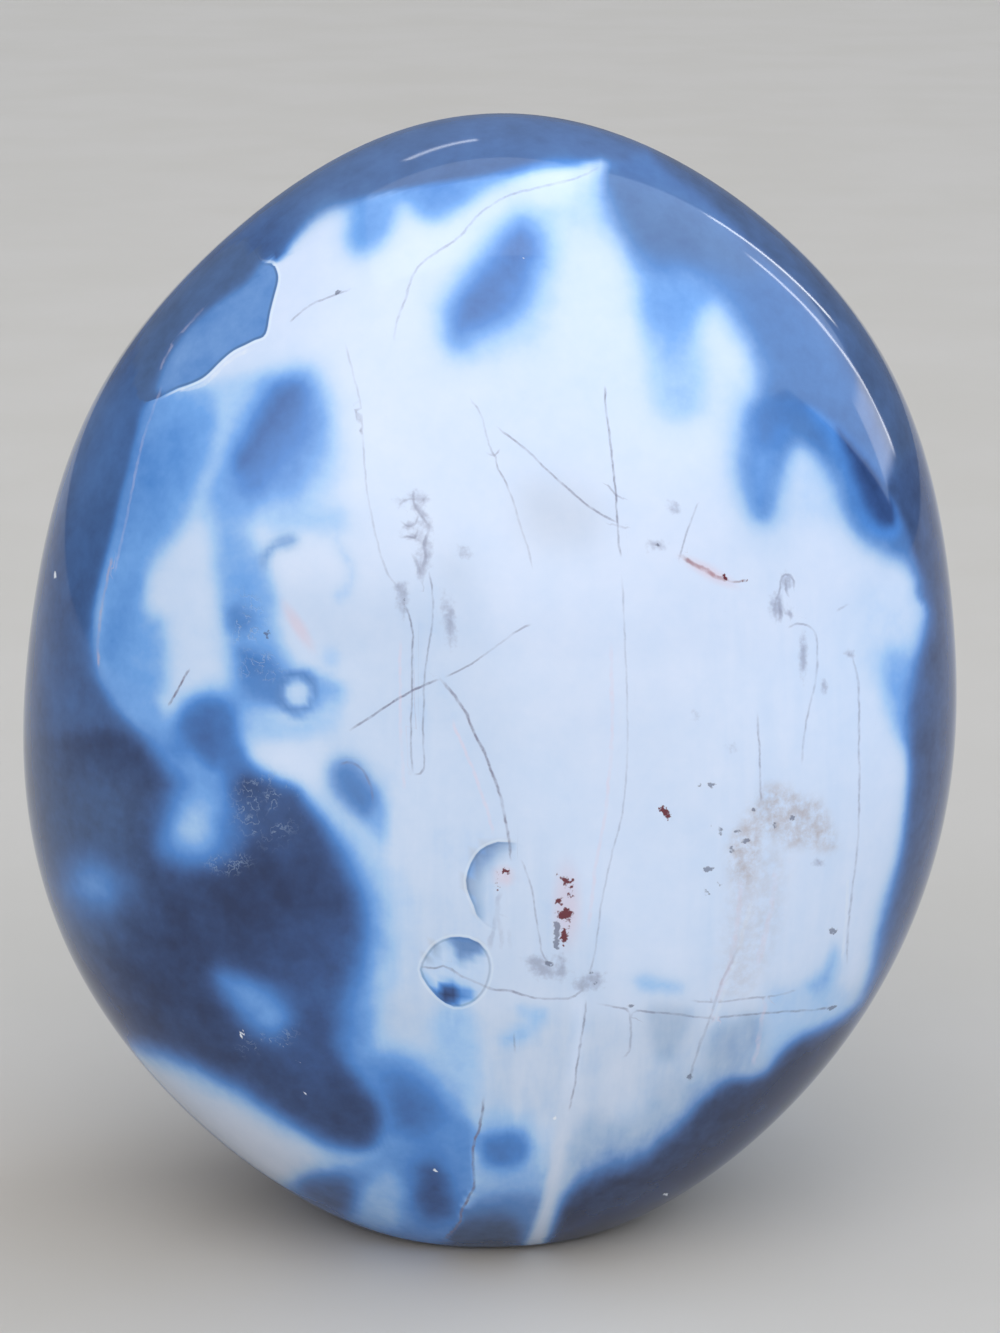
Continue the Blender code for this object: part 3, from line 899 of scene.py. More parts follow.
CRACK_LAYERS = (
    (
        ("long upright", 0.13, 0.75, GREY, (
            (605, 386), (606, 409), (610, 437), (614, 476), (616, 495), (617, 514),
            (618, 535), (621, 558))),
        ("long upright's faint run", 0.12, 0.32, GREY, (
            (622, 575), (624, 620), (627, 690), (627, 760), (622, 815), (613, 850),
            (605, 885), (600, 912), (596, 945), (592, 966), (588, 976))),
        ("left diagonal", 0.14, 0.85, GREY, (
            (349, 731), (371, 717), (390, 704), (410, 692), (424, 685), (440, 679))),
        ("right diagonal", 0.12, 0.6, GREY, (
            (446, 677), (466, 667), (495, 647), (514, 633), (526, 626), (533, 624))),
        ("wavy upright", 0.12, 0.5, GREY, (
            (470, 400), (480, 412), (486, 434), (490, 449), (495, 455), (497, 467),
            (505, 481), (514, 504), (520, 524), (528, 548), (532, 568))),
        ("crown curve", 0.14, 0.42, GREY, (
            (600, 166), (580, 177), (550, 185), (510, 195), (482, 212), (460, 236),
            (440, 250), (420, 265), (411, 280), (405, 300), (397, 320), (394, 342))),
        ("rust line", 0.26, 0.85, RUST, (
            (682, 557), (692, 563), (703, 569), (714, 575), (722, 579), (728, 581))),
        ("rust line's tip", 0.13, 0.8, RUST, ((729, 581), (737, 582), (746, 580))),
        ("lower line", 0.13, 0.55, GREY, (
            (596, 1003), (640, 1011), (674, 1014), (712, 1018), (743, 1015), (778, 1012),
            (812, 1010), (832, 1007))),
        ("shell crescent's line", 0.12, 0.5, GREY, (
            (521, 860), (528, 877), (533, 894), (535, 912), (539, 935), (542, 953),
            (549, 964))),
        ("left upright's dark run", 0.14, 0.6, GREY, ((354, 404), (357, 418), (361, 434))),
        ("dendrite", 0.15, 0.6, GREY, (
            (413, 492), (414, 503), (418, 511), (424, 519), (430, 527))),
        ("dendrite's root", 0.2, 0.5, GREY, ((428, 531), (425, 545), (426, 557), (423, 569))),
        ("curl", 0.13, 0.5, GREY, (
            (794, 588), (793, 578), (787, 574), (781, 579), (780, 590), (776, 600),
            (774, 612))),
        ("right white run", 0.2, 0.5, PALE, ((848, 878), (846, 920), (842, 962))),
        ("slanting white run", 0.25, 0.4, PALE, ((752, 900), (735, 960), (712, 1028))),
        ("left upright", 0.13, 0.28, GREY, (
            (345, 342), (352, 370), (360, 402), (363, 440), (367, 490), (376, 536),
            (386, 570), (398, 588))),
        ("teal lobe's edge", 0.16, 0.5, GREY, (
            (340, 764), (352, 763), (364, 772), (371, 788), (373, 804))),
        ("fracture", 0.17, 0.9, GREY, (
            (484, 1095), (480, 1126), (474, 1143), (473, 1166), (474, 1186), (467, 1200),
            (461, 1213), (460, 1222), (451, 1233), (443, 1240))),
        ("low upright", 0.14, 0.45, GREY, ((630, 1012), (631, 1034), (629, 1052), (624, 1056))),
    ),
    (
        ("slant", 0.13, 0.72, GREY, (
            (498, 429), (514, 440), (528, 451), (545, 468), (564, 485), (580, 499),
            (597, 512), (618, 523))),
        ("brown curve", 0.17, 0.75, LIGHT_BROWN, (
            (440, 679), (451, 691), (466, 713), (475, 735), (485, 754), (492, 773),
            (501, 798), (506, 824), (510, 845), (510, 857))),
        ("left edge of the tube", 0.12, 0.6, GREY, (
            (404, 604), (410, 618), (413, 636), (412, 660), (412, 690), (411, 722),
            (411, 750), (413, 774))),
        ("shell line", 0.14, 0.62, GREY, (
            (420, 967), (435, 968), (447, 966), (456, 973), (467, 979), (480, 984),
            (493, 989), (511, 991), (530, 997), (552, 999), (573, 997), (583, 988))),
        ("right upright", 0.13, 0.42, GREY, (
            (852, 655), (858, 682), (859, 730), (859, 801), (857, 850), (851, 900),
            (848, 930), (847, 966))),
        ("right slanting streak", 0.16, 0.38, GREY, (
            (740, 946), (728, 968), (719, 990), (709, 1021), (698, 1050), (690, 1078))),
        ("short slant", 0.12, 0.45, GREY, (
            (697, 503), (694, 514), (688, 529), (683, 545), (679, 559))),
        ("wisp's crack", 0.14, 0.9, BROWN, ((188, 670), (180, 686), (169, 705))),
        ("flake line", 0.12, 0.45, GREY, (
            (290, 322), (310, 305), (335, 295), (351, 289))),
        ("dendrite's left branch", 0.13, 0.5, GREY, (
            (399, 505), (404, 500), (410, 499), (414, 500))),
        ("dendrite's low branch", 0.13, 0.55, GREY, (
            (402, 538), (409, 536), (416, 537), (418, 527))),
        ("curl's inner run", 0.14, 0.5, GREY, ((785, 579), (786, 589), (789, 597))),
        ("right dash", 0.14, 0.4, GREY, ((837, 611), (843, 607), (848, 604))),
        ("upright in the soil cloud", 0.13, 0.5, GREY, (
            (757, 712), (759, 745), (760, 774), (761, 802))),
    ),
    (
        ("right edge of the tube", 0.12, 0.5, GREY, (
            (428, 570), (432, 588), (433, 611), (430, 640), (425, 670), (424, 698),
            (423, 730), (424, 760), (423, 772), (413, 775))),
        ("white run's crack", 0.13, 0.6, GREY, (
            (586, 1002), (585, 1014), (583, 1029), (580, 1047), (577, 1066), (574, 1088),
            (569, 1112))),
        ("second lower line", 0.12, 0.4, GREY, (
            (692, 1001), (719, 1002), (743, 999), (778, 995), (796, 990))),
        ("hanging loop", 0.13, 0.45, GREY, (
            (788, 628), (796, 624), (806, 625), (815, 633), (817, 646), (816, 680),
            (809, 708), (804, 739), (802, 766))),
        ("brown curve's twin", 0.2, 0.5, PINK, (
            (452, 722), (461, 741), (470, 762), (479, 786), (488, 812), (494, 838))),
        ("tube's pink run", 0.2, 0.4, PINK, (
            (400, 640), (400, 690), (401, 740), (404, 790))),
        ("upright's twin", 0.22, 0.4, PINK, (
            (611, 640), (612, 700), (611, 760), (604, 820), (595, 870), (588, 930))),
        ("soil's streak", 0.3, 0.35, PINK, (
            (741, 880), (738, 920), (728, 968), (716, 1000))),
        ("second soil streak", 0.3, 0.3, PINK, (
            (776, 870), (772, 905), (764, 940), (757, 966))),
        ("slanted tube", 0.25, 0.4, PINK, (
            (766, 1000), (762, 1020), (757, 1050), (752, 1066))),
        ("barb by the upright", 0.12, 0.5, GREY, ((606, 484), (612, 490), (617, 497), (623, 499))),
        ("lower barb", 0.14, 0.5, GREY, ((612, 524), (620, 527), (627, 528))),
        ("wavy upright's barb", 0.13, 0.5, GREY, ((488, 453), (494, 456), (499, 451))),
        ("dendrite's middle branch", 0.13, 0.5, GREY, (
            (401, 521), (408, 526), (415, 525), (418, 515))),
        ("dendrite's right branch", 0.12, 0.4, GREY, ((419, 503), (423, 500), (428, 495))),
        ("dendrite's second root", 0.2, 0.35, GREY, ((414, 556), (418, 566), (419, 579))),
        ("curl's foot", 0.2, 0.55, GREY, ((779, 598), (781, 610), (780, 623))),
        ("lavender streak", 0.3, 0.22, GREY, ((500, 894), (494, 927), (489, 948))),
        ("second lavender streak", 0.25, 0.22, GREY, ((509, 928), (510, 948))),
        ("low shell's line", 0.13, 0.4, GREY, ((514, 1034), (515, 1050))),
        ("flake's outer line", 0.22, 0.85, PALE, (
            (178, 391), (200, 386), (215, 374), (228, 362), (242, 353), (258, 347))),
        ("left rim's pale line", 0.14, 0.2, PINK, (
            (162, 386), (146, 430), (134, 480), (124, 530), (114, 575))),
        ("left rim's pink line", 0.16, 0.6, DEEP_PINK, (
            (112, 556), (105, 590), (100, 620), (98, 645), (99, 668))),
        ("flake's pink line", 0.13, 0.25, PINK, ((204, 308), (193, 320), (181, 334))),
        ("flake's lower pink line", 0.13, 0.25, PINK, ((173, 344), (166, 356), (160, 370))),
    ),
)


def crack_layer(lines, places):
    """For each place: the distance in half-widths, the strength and the tone."""
    layer = np.zeros((len(places), 3))
    layer[:, 0] = FAR_AWAY
    closest = np.full(len(places), np.inf)
    for name, half_width, strength, tone, points in lines:
        margin = (half_width + CRACK_FADE[1]) * PIXELS_PER_MM
        near = np.flatnonzero(near_box(points, places, margin))
        curve = curve_through(with_softness(points, 0.0), closed=False)
        distance, along, _, side = nearest_on(curve, places[near], closed=False)
        distance /= PIXELS_PER_MM
        edge = (distance - half_width - CRACK_FADE[0]) / (CRACK_FADE[1] - CRACK_FADE[0])
        ends = ease(along / CRACK_ENDS) * ease((1 - along) / CRACK_ENDS)
        values = np.column_stack((
            side * distance / half_width,
            strength * ends * (1 - ease(edge)),
            np.full(len(near), tone),
        ))
        nearer = distance < closest[near]
        layer[near[nearer]] = values[nearer]
        closest[near[nearer]] = distance[nearer]
    return layer


cracks = [crack_layer(lines, picture) for lines in CRACK_LAYERS]
for layer in cracks:
    layer[:, 1] *= on_face
print("cracks:", sum(len(lines) for lines in CRACK_LAYERS), "in", len(cracks), "layers")

# %% [markdown]
# ## Rust, soil, pits and dots
#
# Grains of iron ore in the cracks went to rust, in a short chain and in single flecks.
# In some places the polish broke out and left a pitted patch. Each kind of mark is
# a field that is 1 in the middle of a spot, a half on its edge and 0 at twice its size,
# and the finish breaks its edge up. A faint cloud of clay hangs in the white at the
# right like a wing, and the white hangs in folds: both are outlines like the clouds.
# A spot has its place, half-width and half-height in pixels, and its lean in degrees.

# %% Spots
RUST_SPOTS = (  # x, y, half-width, half-height and lean
    (504, 871, 6, 4.4, 0), (510, 868, 4, 2.6, 20), (500, 878, 4.4, 3.4, 0),
    (497, 886, 6.4, 3.6, 0), (561, 878, 4, 2.8, -20), (568, 879, 6, 4, 0),
    (567, 884, 4.4, 5, 0), (571, 893, 3.4, 5.4, -20), (560, 899, 4.2, 4.6, 0),
    (567, 914, 7.4, 6.6, 0), (558, 915, 3.4, 3, 0), (566, 928, 4.6, 3.4, 0),
    (565, 936, 4.4, 9, -12),
    (668, 818, 4.6, 3.4, 20), (659, 806, 2.6, 3.6, -20), (664, 811, 4.4, 2.8, 0),
    (746, 580, 4, 3, 0), (724, 576, 4, 3, 30),
)
DARK_SPOTS = (
    (700, 783, 5, 3.2, 0), (712, 786, 5, 3, 20), (712, 827, 3.6, 3, 0),
    (721, 831, 3.4, 4.4, 0), (708, 869, 6.6, 3.2, 0), (719, 883, 5, 2.8, 0),
    (707, 892, 4.4, 3.2, 0), (267, 634, 4, 4, 0), (732, 850, 3.2, 5, 0),
    (746, 841, 5.4, 2.8, 0), (775, 825, 4, 3.2, 0), (792, 818, 3.4, 3.4, 0),
    (737, 832, 4, 2.4, 40), (753, 809, 3.2, 2.6, 0),
    (833, 931, 5, 3.4, 0), (557, 925, 1.8, 3.4, 0), (557, 933, 2.4, 3, 0),
    (556, 941, 1.8, 3, 0), (557, 948, 3, 1.8, 0), (558, 967, 2.4, 5.4, 8),
    (549, 965, 3, 6, 30), (587, 987, 3, 4, 0), (597, 985, 3.4, 2.6, 0),
    (592, 974, 3, 3.4, 0), (630, 1005, 6, 2.4, 0), (832, 1008, 6, 2, 20),
    (690, 1077, 3.4, 3, 0), (456, 974, 6, 3, -25), (656, 544, 4, 2, -15),
    (338, 292, 4, 2.2, 30), (402, 603, 3, 7, 5),
)
SMOKE_SPOTS = (
    (401, 502, 5, 3, 0), (414, 497, 4, 7, 0), (422, 500, 2.6, 5, 0),
    (427, 497, 3, 3.4, 0), (417, 508, 4, 4, 0), (425, 518, 4, 12, 28),
    (412, 526, 9, 3, 0), (411, 536, 9, 3, 0), (426, 547, 4.4, 15, 3),
    (419, 566, 3, 13, 8), (402, 601, 4.4, 13, 5), (397, 588, 3.4, 5, 0),
    (404, 589, 4, 5, 0), (449, 620, 5, 22, 8), (464, 552, 5, 6, 0),
    (534, 960, 8, 4, 0), (540, 967, 9, 8, 0), (549, 972, 7, 6, 0), (561, 958, 5, 4, 0),
    (561, 972, 6, 7, 0), (582, 985, 7, 6, 0), (594, 980, 8, 8, 0),
    (777, 607, 6, 11, 0), (787, 582, 5, 7, 0), (790, 614, 3, 4, 0), (803, 656, 3.4, 18, 0),
    (824, 687, 3, 6, 0),
    (850, 654, 5, 3, 0), (732, 748, 6, 2.4, 0), (695, 716, 4, 3, 0),
    (656, 545, 9, 4, 0), (674, 508, 6, 5, 0), (818, 863, 5, 3, 0),
)
PINK_SPOTS = (
    (298, 626, 5, 20, 32), (709, 572, 22, 5, -28),
    (567, 905, 10, 30, 0), (504, 876, 8, 8, 0),
)
ROUGH_SPOTS = (
    (265, 808, 26, 28, 0), (243, 620, 16, 22, 0), (262, 668, 18, 12, 0),
    (228, 862, 18, 10, 0), (268, 1040, 24, 10, 20),
)
WHITE_SPECKS = (
    (242, 1034, 2.6, 5, 0), (285, 1045, 3, 2, 0), (298, 1062, 3, 2, 0),
    (304, 1094, 2.4, 2.4, 0), (254, 240, 2, 2, 0), (55, 575, 2, 2, 0),
    (665, 1195, 2.4, 2, 0), (525, 258, 2, 2, 0), (435, 1170, 3, 2, 0),
    (556, 1118, 2.4, 3, 0),
)
SOIL_CLOUDS = (
    ("drapes under the wing", 0.30, 1.4, (
        (736, 850), (780, 850), (782, 900), (770, 950), (750, 990), (722, 990), (728, 920))),
    ("wing", 0.75, 0.8, (
        (756, 800), (768, 786), (786, 788), (804, 798), (820, 802), (830, 824), (836, 844),
        (826, 850), (804, 846), (786, 846), (774, 838), (764, 836), (758, 860), (750, 884),
        (736, 880), (730, 862), (732, 840), (742, 822))),
)
FOLDS = (
    ("folds of the right", 0.6, 3.0, (
        (700, 590), (760, 570), (860, 640), (862, 900), (840, 990), (700, 1000),
        (690, 800))),
    ("folds of the foot", 1.0, 2.0, (
        (480, 1010), (560, 1000), (720, 1010), (760, 1060), (700, 1120), (640, 1170),
        (560, 1200), (490, 1120))),
    ("folds of the left", 0.7, 2.0, (
        (400, 600), (440, 600), (450, 800), (500, 840), (600, 840), (600, 990), (390, 1000))),
)


def spot_field(spots, places):
    """The largest of the fields of some spots, for each place."""
    field = np.zeros(len(places))
    for x, y, half_width, half_height, lean in spots:
        offset = places - (x, y)
        cosine = math.cos(math.radians(lean))
        sine = math.sin(math.radians(lean))
        across = (offset[:, 0] * cosine - offset[:, 1] * sine) / half_width
        upward = (offset[:, 0] * sine + offset[:, 1] * cosine) / half_height
        field = np.maximum(field, 1 - 0.5 * np.hypot(across, upward))
    return field


SPOTS = {
    "rust": RUST_SPOTS,
    "dots": DARK_SPOTS,
    "smoke": SMOKE_SPOTS,
    "pink": PINK_SPOTS,
    "rough": ROUGH_SPOTS,
    "specks": WHITE_SPECKS,
}
fields = {kind: spot_field(spots, picture) for kind, spots in SPOTS.items()}
fields["soil"] = paint(np.zeros(len(picture)), SOIL_CLOUDS, picture)
fields["folds"] = paint(np.zeros(len(picture)), FOLDS, picture)
for field in fields.values():
    field *= on_face
print("spots:", {kind: len(spots) for kind, spots in SPOTS.items()})

# %% [markdown]
# ## What the mesh remembers
#
# Every field is written to the mesh under its name, one value for each corner. The
# material reads them by name, so they stay on the stone and travel with it.

# %% Attributes
def remember(mesh, name, values):
    """Stores one number for each corner of the mesh, or three."""
    kind = "FLOAT" if values.ndim == 1 else "FLOAT_VECTOR"
    layer = mesh.attributes.new(name, kind, "POINT")
    layer.data.foreach_set("value" if kind == "FLOAT" else "vector", values.ravel())


remember(mesh, "outer", outer)
remember(mesh, "inner", inner)
remember(mesh, "crisp", crisp)
remember(mesh, "slate", slate)
remember(mesh, "behind", 1 - on_face)
remember(mesh, "edge_line_and_highlight", edge_line_and_highlight * on_face)
for number, layer in enumerate(cracks):
    remember(mesh, f"cracks_{number}", layer)
for kind, field in fields.items():
    remember(mesh, kind, field)
print("attributes:", [layer.name for layer in mesh.attributes])

# %% [markdown]
# ## Helpers for the finish
#
# A finish is a net of small steps. These helpers add one step each, so that the finish
# below reads in the order in which its colours are laid down.

# %% Node helpers
MIX_SHARE, MIX_BELOW, MIX_ABOVE = 0, 6, 7  # the Mix node's sockets for colours
MIX_RESULT = 2


def colour(red, green, blue):
    """A colour as a screen shows it, 0 to 255, turned into light by the sRGB curve."""
    def light(value):
        value /= 255
        return value / 12.92 if value <= 0.04045 else ((value + 0.055) / 1.055) ** 2.4
    return (light(red), light(green), light(blue), 1.0)


def step(tree, kind, inputs=(), **settings):
    """Adds a node. An input is given as a number, a colour or another node's socket."""
    node = tree.nodes.new(kind)
    for name, value in settings.items():
        setattr(node, name, value)
    for name, value in dict(inputs).items():
        if isinstance(value, bpy.types.NodeSocket):
            tree.links.new(value, node.inputs[name])
        else:
            node.inputs[name].default_value = value
    return node


def sum_up(tree, operation, first, second=0.0, third=0.0):
    """One step of arithmetic, under the name that Blender gives it."""
    inputs = {0: first, 1: second, 2: third}
    return step(tree, "ShaderNodeMath", inputs, operation=operation).outputs[0]


def times(tree, first, second):
    return sum_up(tree, "MULTIPLY", first, second)


def less(tree, first, second):
    return sum_up(tree, "SUBTRACT", first, second)


def plus_times(tree, start, share, amount):
    """The start, plus a share of the amount."""
    return sum_up(tree, "MULTIPLY_ADD", share, amount, start)


def between(tree, value, low, high, smooth=True):
    """0 where the value is low, 1 where it is high, and a soft step between."""
    inputs = {"Value": value, "From Min": low, "From Max": high}
    kind = "SMOOTHSTEP" if smooth else "LINEAR"
    return step(tree, "ShaderNodeMapRange", inputs, interpolation_type=kind).outputs["Result"]


def mixed(tree, share, below, above):
    """A colour laid over another, by a share from 0 to 1."""
    inputs = {MIX_SHARE: share, MIX_BELOW: below, MIX_ABOVE: above}
    return step(tree, "ShaderNodeMix", inputs, data_type="RGBA").outputs[MIX_RESULT]


def stored(tree, name, output="Fac"):
    """A field that the mesh remembers."""
    return step(tree, "ShaderNodeAttribute", attribute_name=name).outputs[output]


def grain(tree, places, size, detail=3.0, roughness=0.55):
    """Noise round a half, with lumps of about the given size in millimetres."""
    inputs = {
        "Vector": places, "Scale": 1 / (size * MM), "Detail": detail, "Roughness": roughness,
    }
    return step(tree, "ShaderNodeTexNoise", inputs).outputs["Fac"]


def lumps(tree, places, size, detail=3.0, roughness=0.55, middle=0.5):
    """The same noise round nought."""
    return less(tree, grain(tree, places, size, detail, roughness), middle)


def patches(tree, places, size, limits, least=0.0, most=1.0):
    """Patches of noise, with one value inside them and another outside."""
    share = between(tree, grain(tree, places, size), *limits)
    return plus_times(tree, least, share, most - least)


def ramp(tree, value, stops):
    """A value turned into a colour by a row of stops."""
    node = step(tree, "ShaderNodeValToRGB", {"Fac": value})
    elements = node.color_ramp.elements
    while len(elements) < len(stops):
        elements.new(0.5)
    for element, (place, shade) in zip(elements, stops):
        element.position = place
        element.color = shade
    return node.outputs["Color"]


# %% [markdown]
# ## The polished finish
#
# The level becomes a colour through a ramp from white over pale and deep blue to dark
# blue, and where the stone is slate, as well as under the painted reflection of the rim
# bands, through a greyer ramp. Over it go the cracks and the spots. A polish is nearly a
# mirror, and only the pitted patches have any relief.

# %% Colours of the stone
CLOUD_STOPS = (
    (0.00, colour(218, 231, 254)),
    (0.15, colour(202, 222, 250)),
    (0.30, colour(167, 205, 247)),
    (0.45, colour(116, 170, 237)),
    (0.60, colour(76, 136, 212)),
    (0.75, colour(62, 109, 176)),
    (0.88, colour(48, 80, 136)),
    (1.00, colour(28, 50, 94)),
)
# The greyer ramp, for slate and for the painted reflection along the rim bands.
SLATE_AND_REFLECTION_STOPS = (
    (0.00, colour(206, 212, 226)),
    (0.30, colour(172, 184, 204)),
    (0.60, colour(94, 130, 178)),
    (0.75, colour(80, 110, 158)),
    (0.88, colour(64, 86, 122)),
    (1.00, colour(32, 44, 70)),
)
CRACK_STOPS = (
    (PALE, colour(226, 236, 252)),
    (PINK, colour(226, 214, 234)),
    (GREY, colour(118, 119, 148)),
    (RUST, colour(124, 62, 62)),
)
RUST_COLOUR = colour(106, 48, 60)
DOT_COLOUR = colour(88, 92, 116)
SMOKE_COLOUR = colour(140, 145, 172)
SOIL_COLOUR = colour(176, 166, 168)
PINK_COLOUR = colour(232, 192, 202)
SPECK_COLOUR = colour(232, 240, 252)
HAIRLINE_COLOUR = colour(116, 118, 146)
PIT_COLOUR = colour(150, 172, 204)
# A thin dark line inside the edge, then a painted highlight outside it.
EDGE_LINE_AND_HIGHLIGHT_TONES = (  # millimetres inside the edge, half-width, strength and colour
    (0.12, 0.20, 0.60, colour(70, 96, 132)),
    (-0.18, 0.18, 0.75, colour(226, 240, 255)),
)
print("shares of slate:", len(SLATE_AND_REFLECTION_SHARES), "colour stops:", len(CLOUD_STOPS))

# %% [markdown]
# ### Clouds, stirred
#
# Painted outlines alone look too clean, so two sizes of noise stir the level, less in
# the white than in the clear stone. In the folds a third noise, drawn out upright, adds
# hanging streaks. On the back a broad noise breaks the soft clouds up, and a soft step
# hardens them again, because nothing there was painted in detail.

# %% Clouds in the finish
CUT = 0.05  # millimetres over which a crisp edge changes
STIR_SIZES = (4.5, 1.3)  # grain sizes are in millimetres, broad and fine
STIR_IN_WHITE = 0.14
STIR_ADDED = 0.05  # what clear stone is stirred more
CLEAR_FROM = 0.35
FINE_SHARE = 0.5
FOLD_SIZE = 2.2
FOLD_STRETCH = (1.0, 1.0, 0.09)  # draws the lumps out upright
FOLD_MIDDLE = 0.48
FOLD_STRENGTH = 0.30
BACK_LUMP = 13.0
BACK_STIR = 1.5
BACK_CLOUD_EDGE = (0.22, 0.62)  # levels between which a cloud's edge lies
BACK_CLEAR = (0.05, 0.62)  # the level in a cloud, and what clear stone has more
BACK_DEPTH_EDGE = (0.5, 1.1)
BACK_DEEPER = 0.28


def broken_behind(tree, level, places):
    """The soft clouds of the back, broken up by noise and hardened again."""
    noise = lumps(tree, places, BACK_LUMP, detail=4.0, roughness=0.42)
    level = plus_times(tree, level, noise, BACK_STIR)
    in_cloud, more_outside = BACK_CLEAR
    edge = between(tree, level, *BACK_CLOUD_EDGE)
    hard = plus_times(tree, in_cloud, edge, more_outside)
    return plus_times(tree, hard, between(tree, level, *BACK_DEPTH_EDGE), BACK_DEEPER)


def stirred(tree, level, places):
    """The level, moved a little by a broad and a fine noise."""
    broad_size, fine_size = STIR_SIZES
    broad = lumps(tree, places, broad_size)
    fine = lumps(tree, places, fine_size, detail=5.0, roughness=0.65)
    stir = plus_times(tree, broad, fine, FINE_SHARE)
    far_from_white = between(tree, level, 0.0, CLEAR_FROM, smooth=False)
    amount = plus_times(tree, STIR_IN_WHITE, far_from_white, STIR_ADDED)
    return plus_times(tree, level, stir, amount)


def with_folds(tree, level, places):
    """Hanging streaks, where the mesh remembers folds."""
    stretched = {0: places, 1: FOLD_STRETCH}
    upright = step(tree, "ShaderNodeVectorMath", stretched, operation="MULTIPLY")
    hanging = lumps(tree, upright.outputs["Vector"], FOLD_SIZE, middle=FOLD_MIDDLE)
    hanging = times(tree, hanging, stored(tree, "folds"))
    return plus_times(tree, level, hanging, FOLD_STRENGTH)


def cloud_level(tree, places):
    """The stored level, crisp where an edge is crisp, and stirred a little."""
    cut = between(tree, stored(tree, "crisp"), -CUT, CUT)
    change = less(tree, stored(tree, "inner"), stored(tree, "outer"))
    level = plus_times(tree, stored(tree, "outer"), change, cut)
    change = less(tree, broken_behind(tree, level, places), level)
    level = plus_times(tree, level, change, stored(tree, "behind"))
    return with_folds(tree, stirred(tree, level, places), places)


# %% [markdown]
# ### Lines in the finish
#
# A healed crack is not an even line. A small noise makes it wander by a part of its
# width, patches of noise let it fade and come back, and a finer one makes it beady. The
# crisp edges get a thin dark line on one side and a painted highlight on the other. The
# back has only long hairlines, along the ridges of a very broad noise.

# %% Lines in the finish
EDGE_CORE = 0.02  # millimetres
LINE_EDGE = (0.3, 1.3)  # half-widths
WOBBLE_SIZE = 1.2
WOBBLE = 2.4  # half-widths, for the noise's whole range
FADING = (3.0, (0.30, 0.62), 0.35, 1.0)  # size, limits, and the least and the most left
BEADS = (0.9, (0.35, 0.60), 0.55, 1.05)
HAIRLINE_SIZE = 24.0
HAIRLINE_EDGE = (0.0025, 0.0005)
HAIRLINE_PATCHES = (8.0, (0.45, 0.6))
HAIRLINE_STRENGTH = 0.6


def with_edge_lines_and_highlights(tree, base):
    """A dark line inside each crisp edge, and a painted highlight outside it."""
    for middle, width, strength, shade in EDGE_LINE_AND_HIGHLIGHT_TONES:
        apart = sum_up(tree, "ABSOLUTE", less(tree, stored(tree, "crisp"), middle))
        share = plus_times(tree, strength, between(tree, apart, EDGE_CORE, width), -strength)
        base = mixed(tree, times(tree, share, stored(tree, "edge_line_and_highlight")), base, shade)
    return base


def crack_mask(tree, name, wobble):
    """The share and tone of the lines in one layer of cracks."""
    parts = step(tree, "ShaderNodeSeparateXYZ", {0: stored(tree, name, "Vector")})
    distance = sum_up(tree, "ABSOLUTE", sum_up(tree, "ADD", parts.outputs[0], wobble))
    line = less(tree, 1.0, between(tree, distance, *LINE_EDGE))
    return times(tree, line, parts.outputs[1]), parts.outputs[2]


def with_cracks(tree, base, places):
    """The healed cracks, one layer over the other."""
    wobble = times(tree, lumps(tree, places, WOBBLE_SIZE), WOBBLE)
    uneven = times(tree, patches(tree, places, *FADING), patches(tree, places, *BEADS))
    for number in range(len(CRACK_LAYERS)):
        share, tone = crack_mask(tree, f"cracks_{number}", wobble)
        share = times(tree, share, uneven)
        base = mixed(tree, share, base, ramp(tree, tone, CRACK_STOPS))
    return base


def with_hairlines_behind(tree, base, places):
    """Long grey hairlines on the back, along the ridges of a broad noise."""
    ridge = sum_up(tree, "ABSOLUTE", lumps(tree, places, HAIRLINE_SIZE, detail=1.5))
    line = between(tree, ridge, *HAIRLINE_EDGE)
    share = times(tree, line, patches(tree, places, *HAIRLINE_PATCHES))
    share = times(tree, times(tree, share, HAIRLINE_STRENGTH), stored(tree, "behind"))
    return mixed(tree, share, base, HAIRLINE_COLOUR)


# %% [markdown]
# ### Spots in the finish
#
# The pink haze, the clay and the smoky smudges are soft, so their noise only thins them.
# Rust, dots and specks are hard grains, so noise is added to their field before a steep
# step cuts it, which leaves ragged edges.

# %% Spots in the finish
HAZE_EDGE = (0.0, 0.8)
HAZE_STRENGTH = 0.34
DUST_SIZE = 1.1
DUST_EDGE = (0.25, 0.75)
BREATH_SIZE = 0.5
BREATH = 0.9
SMOKE_EDGE = (0.15, 0.9)
SMOKE_STRENGTH = 0.6
GRAIN_EDGE = (0.46, 0.62)  # the step that cuts hard grains
DOT_NOISE = (0.35, 0.7)  # size and amount
SPECK_NOISE = (0.3, 0.4)
RUST_NOISE = (0.32, 0.9)
DOT_STRENGTH = 0.7
PIT_RIDGE_SIZE = 0.8
PIT_RIDGE_EDGE = (0.0, 0.045)
PIT_PATCH_SIZE = 1.7
PIT_PATCH_EDGE = (0.42, 0.56)
PIT_FIELD_EDGE = (0.1, 0.7)


def ragged_spots(tree, name, places, size, amount):
    """Spots with sharp, ragged edges, from a field and fine noise."""
    field = plus_times(tree, stored(tree, name), lumps(tree, places, size, detail=2.0), amount)
    return between(tree, field, *GRAIN_EDGE)


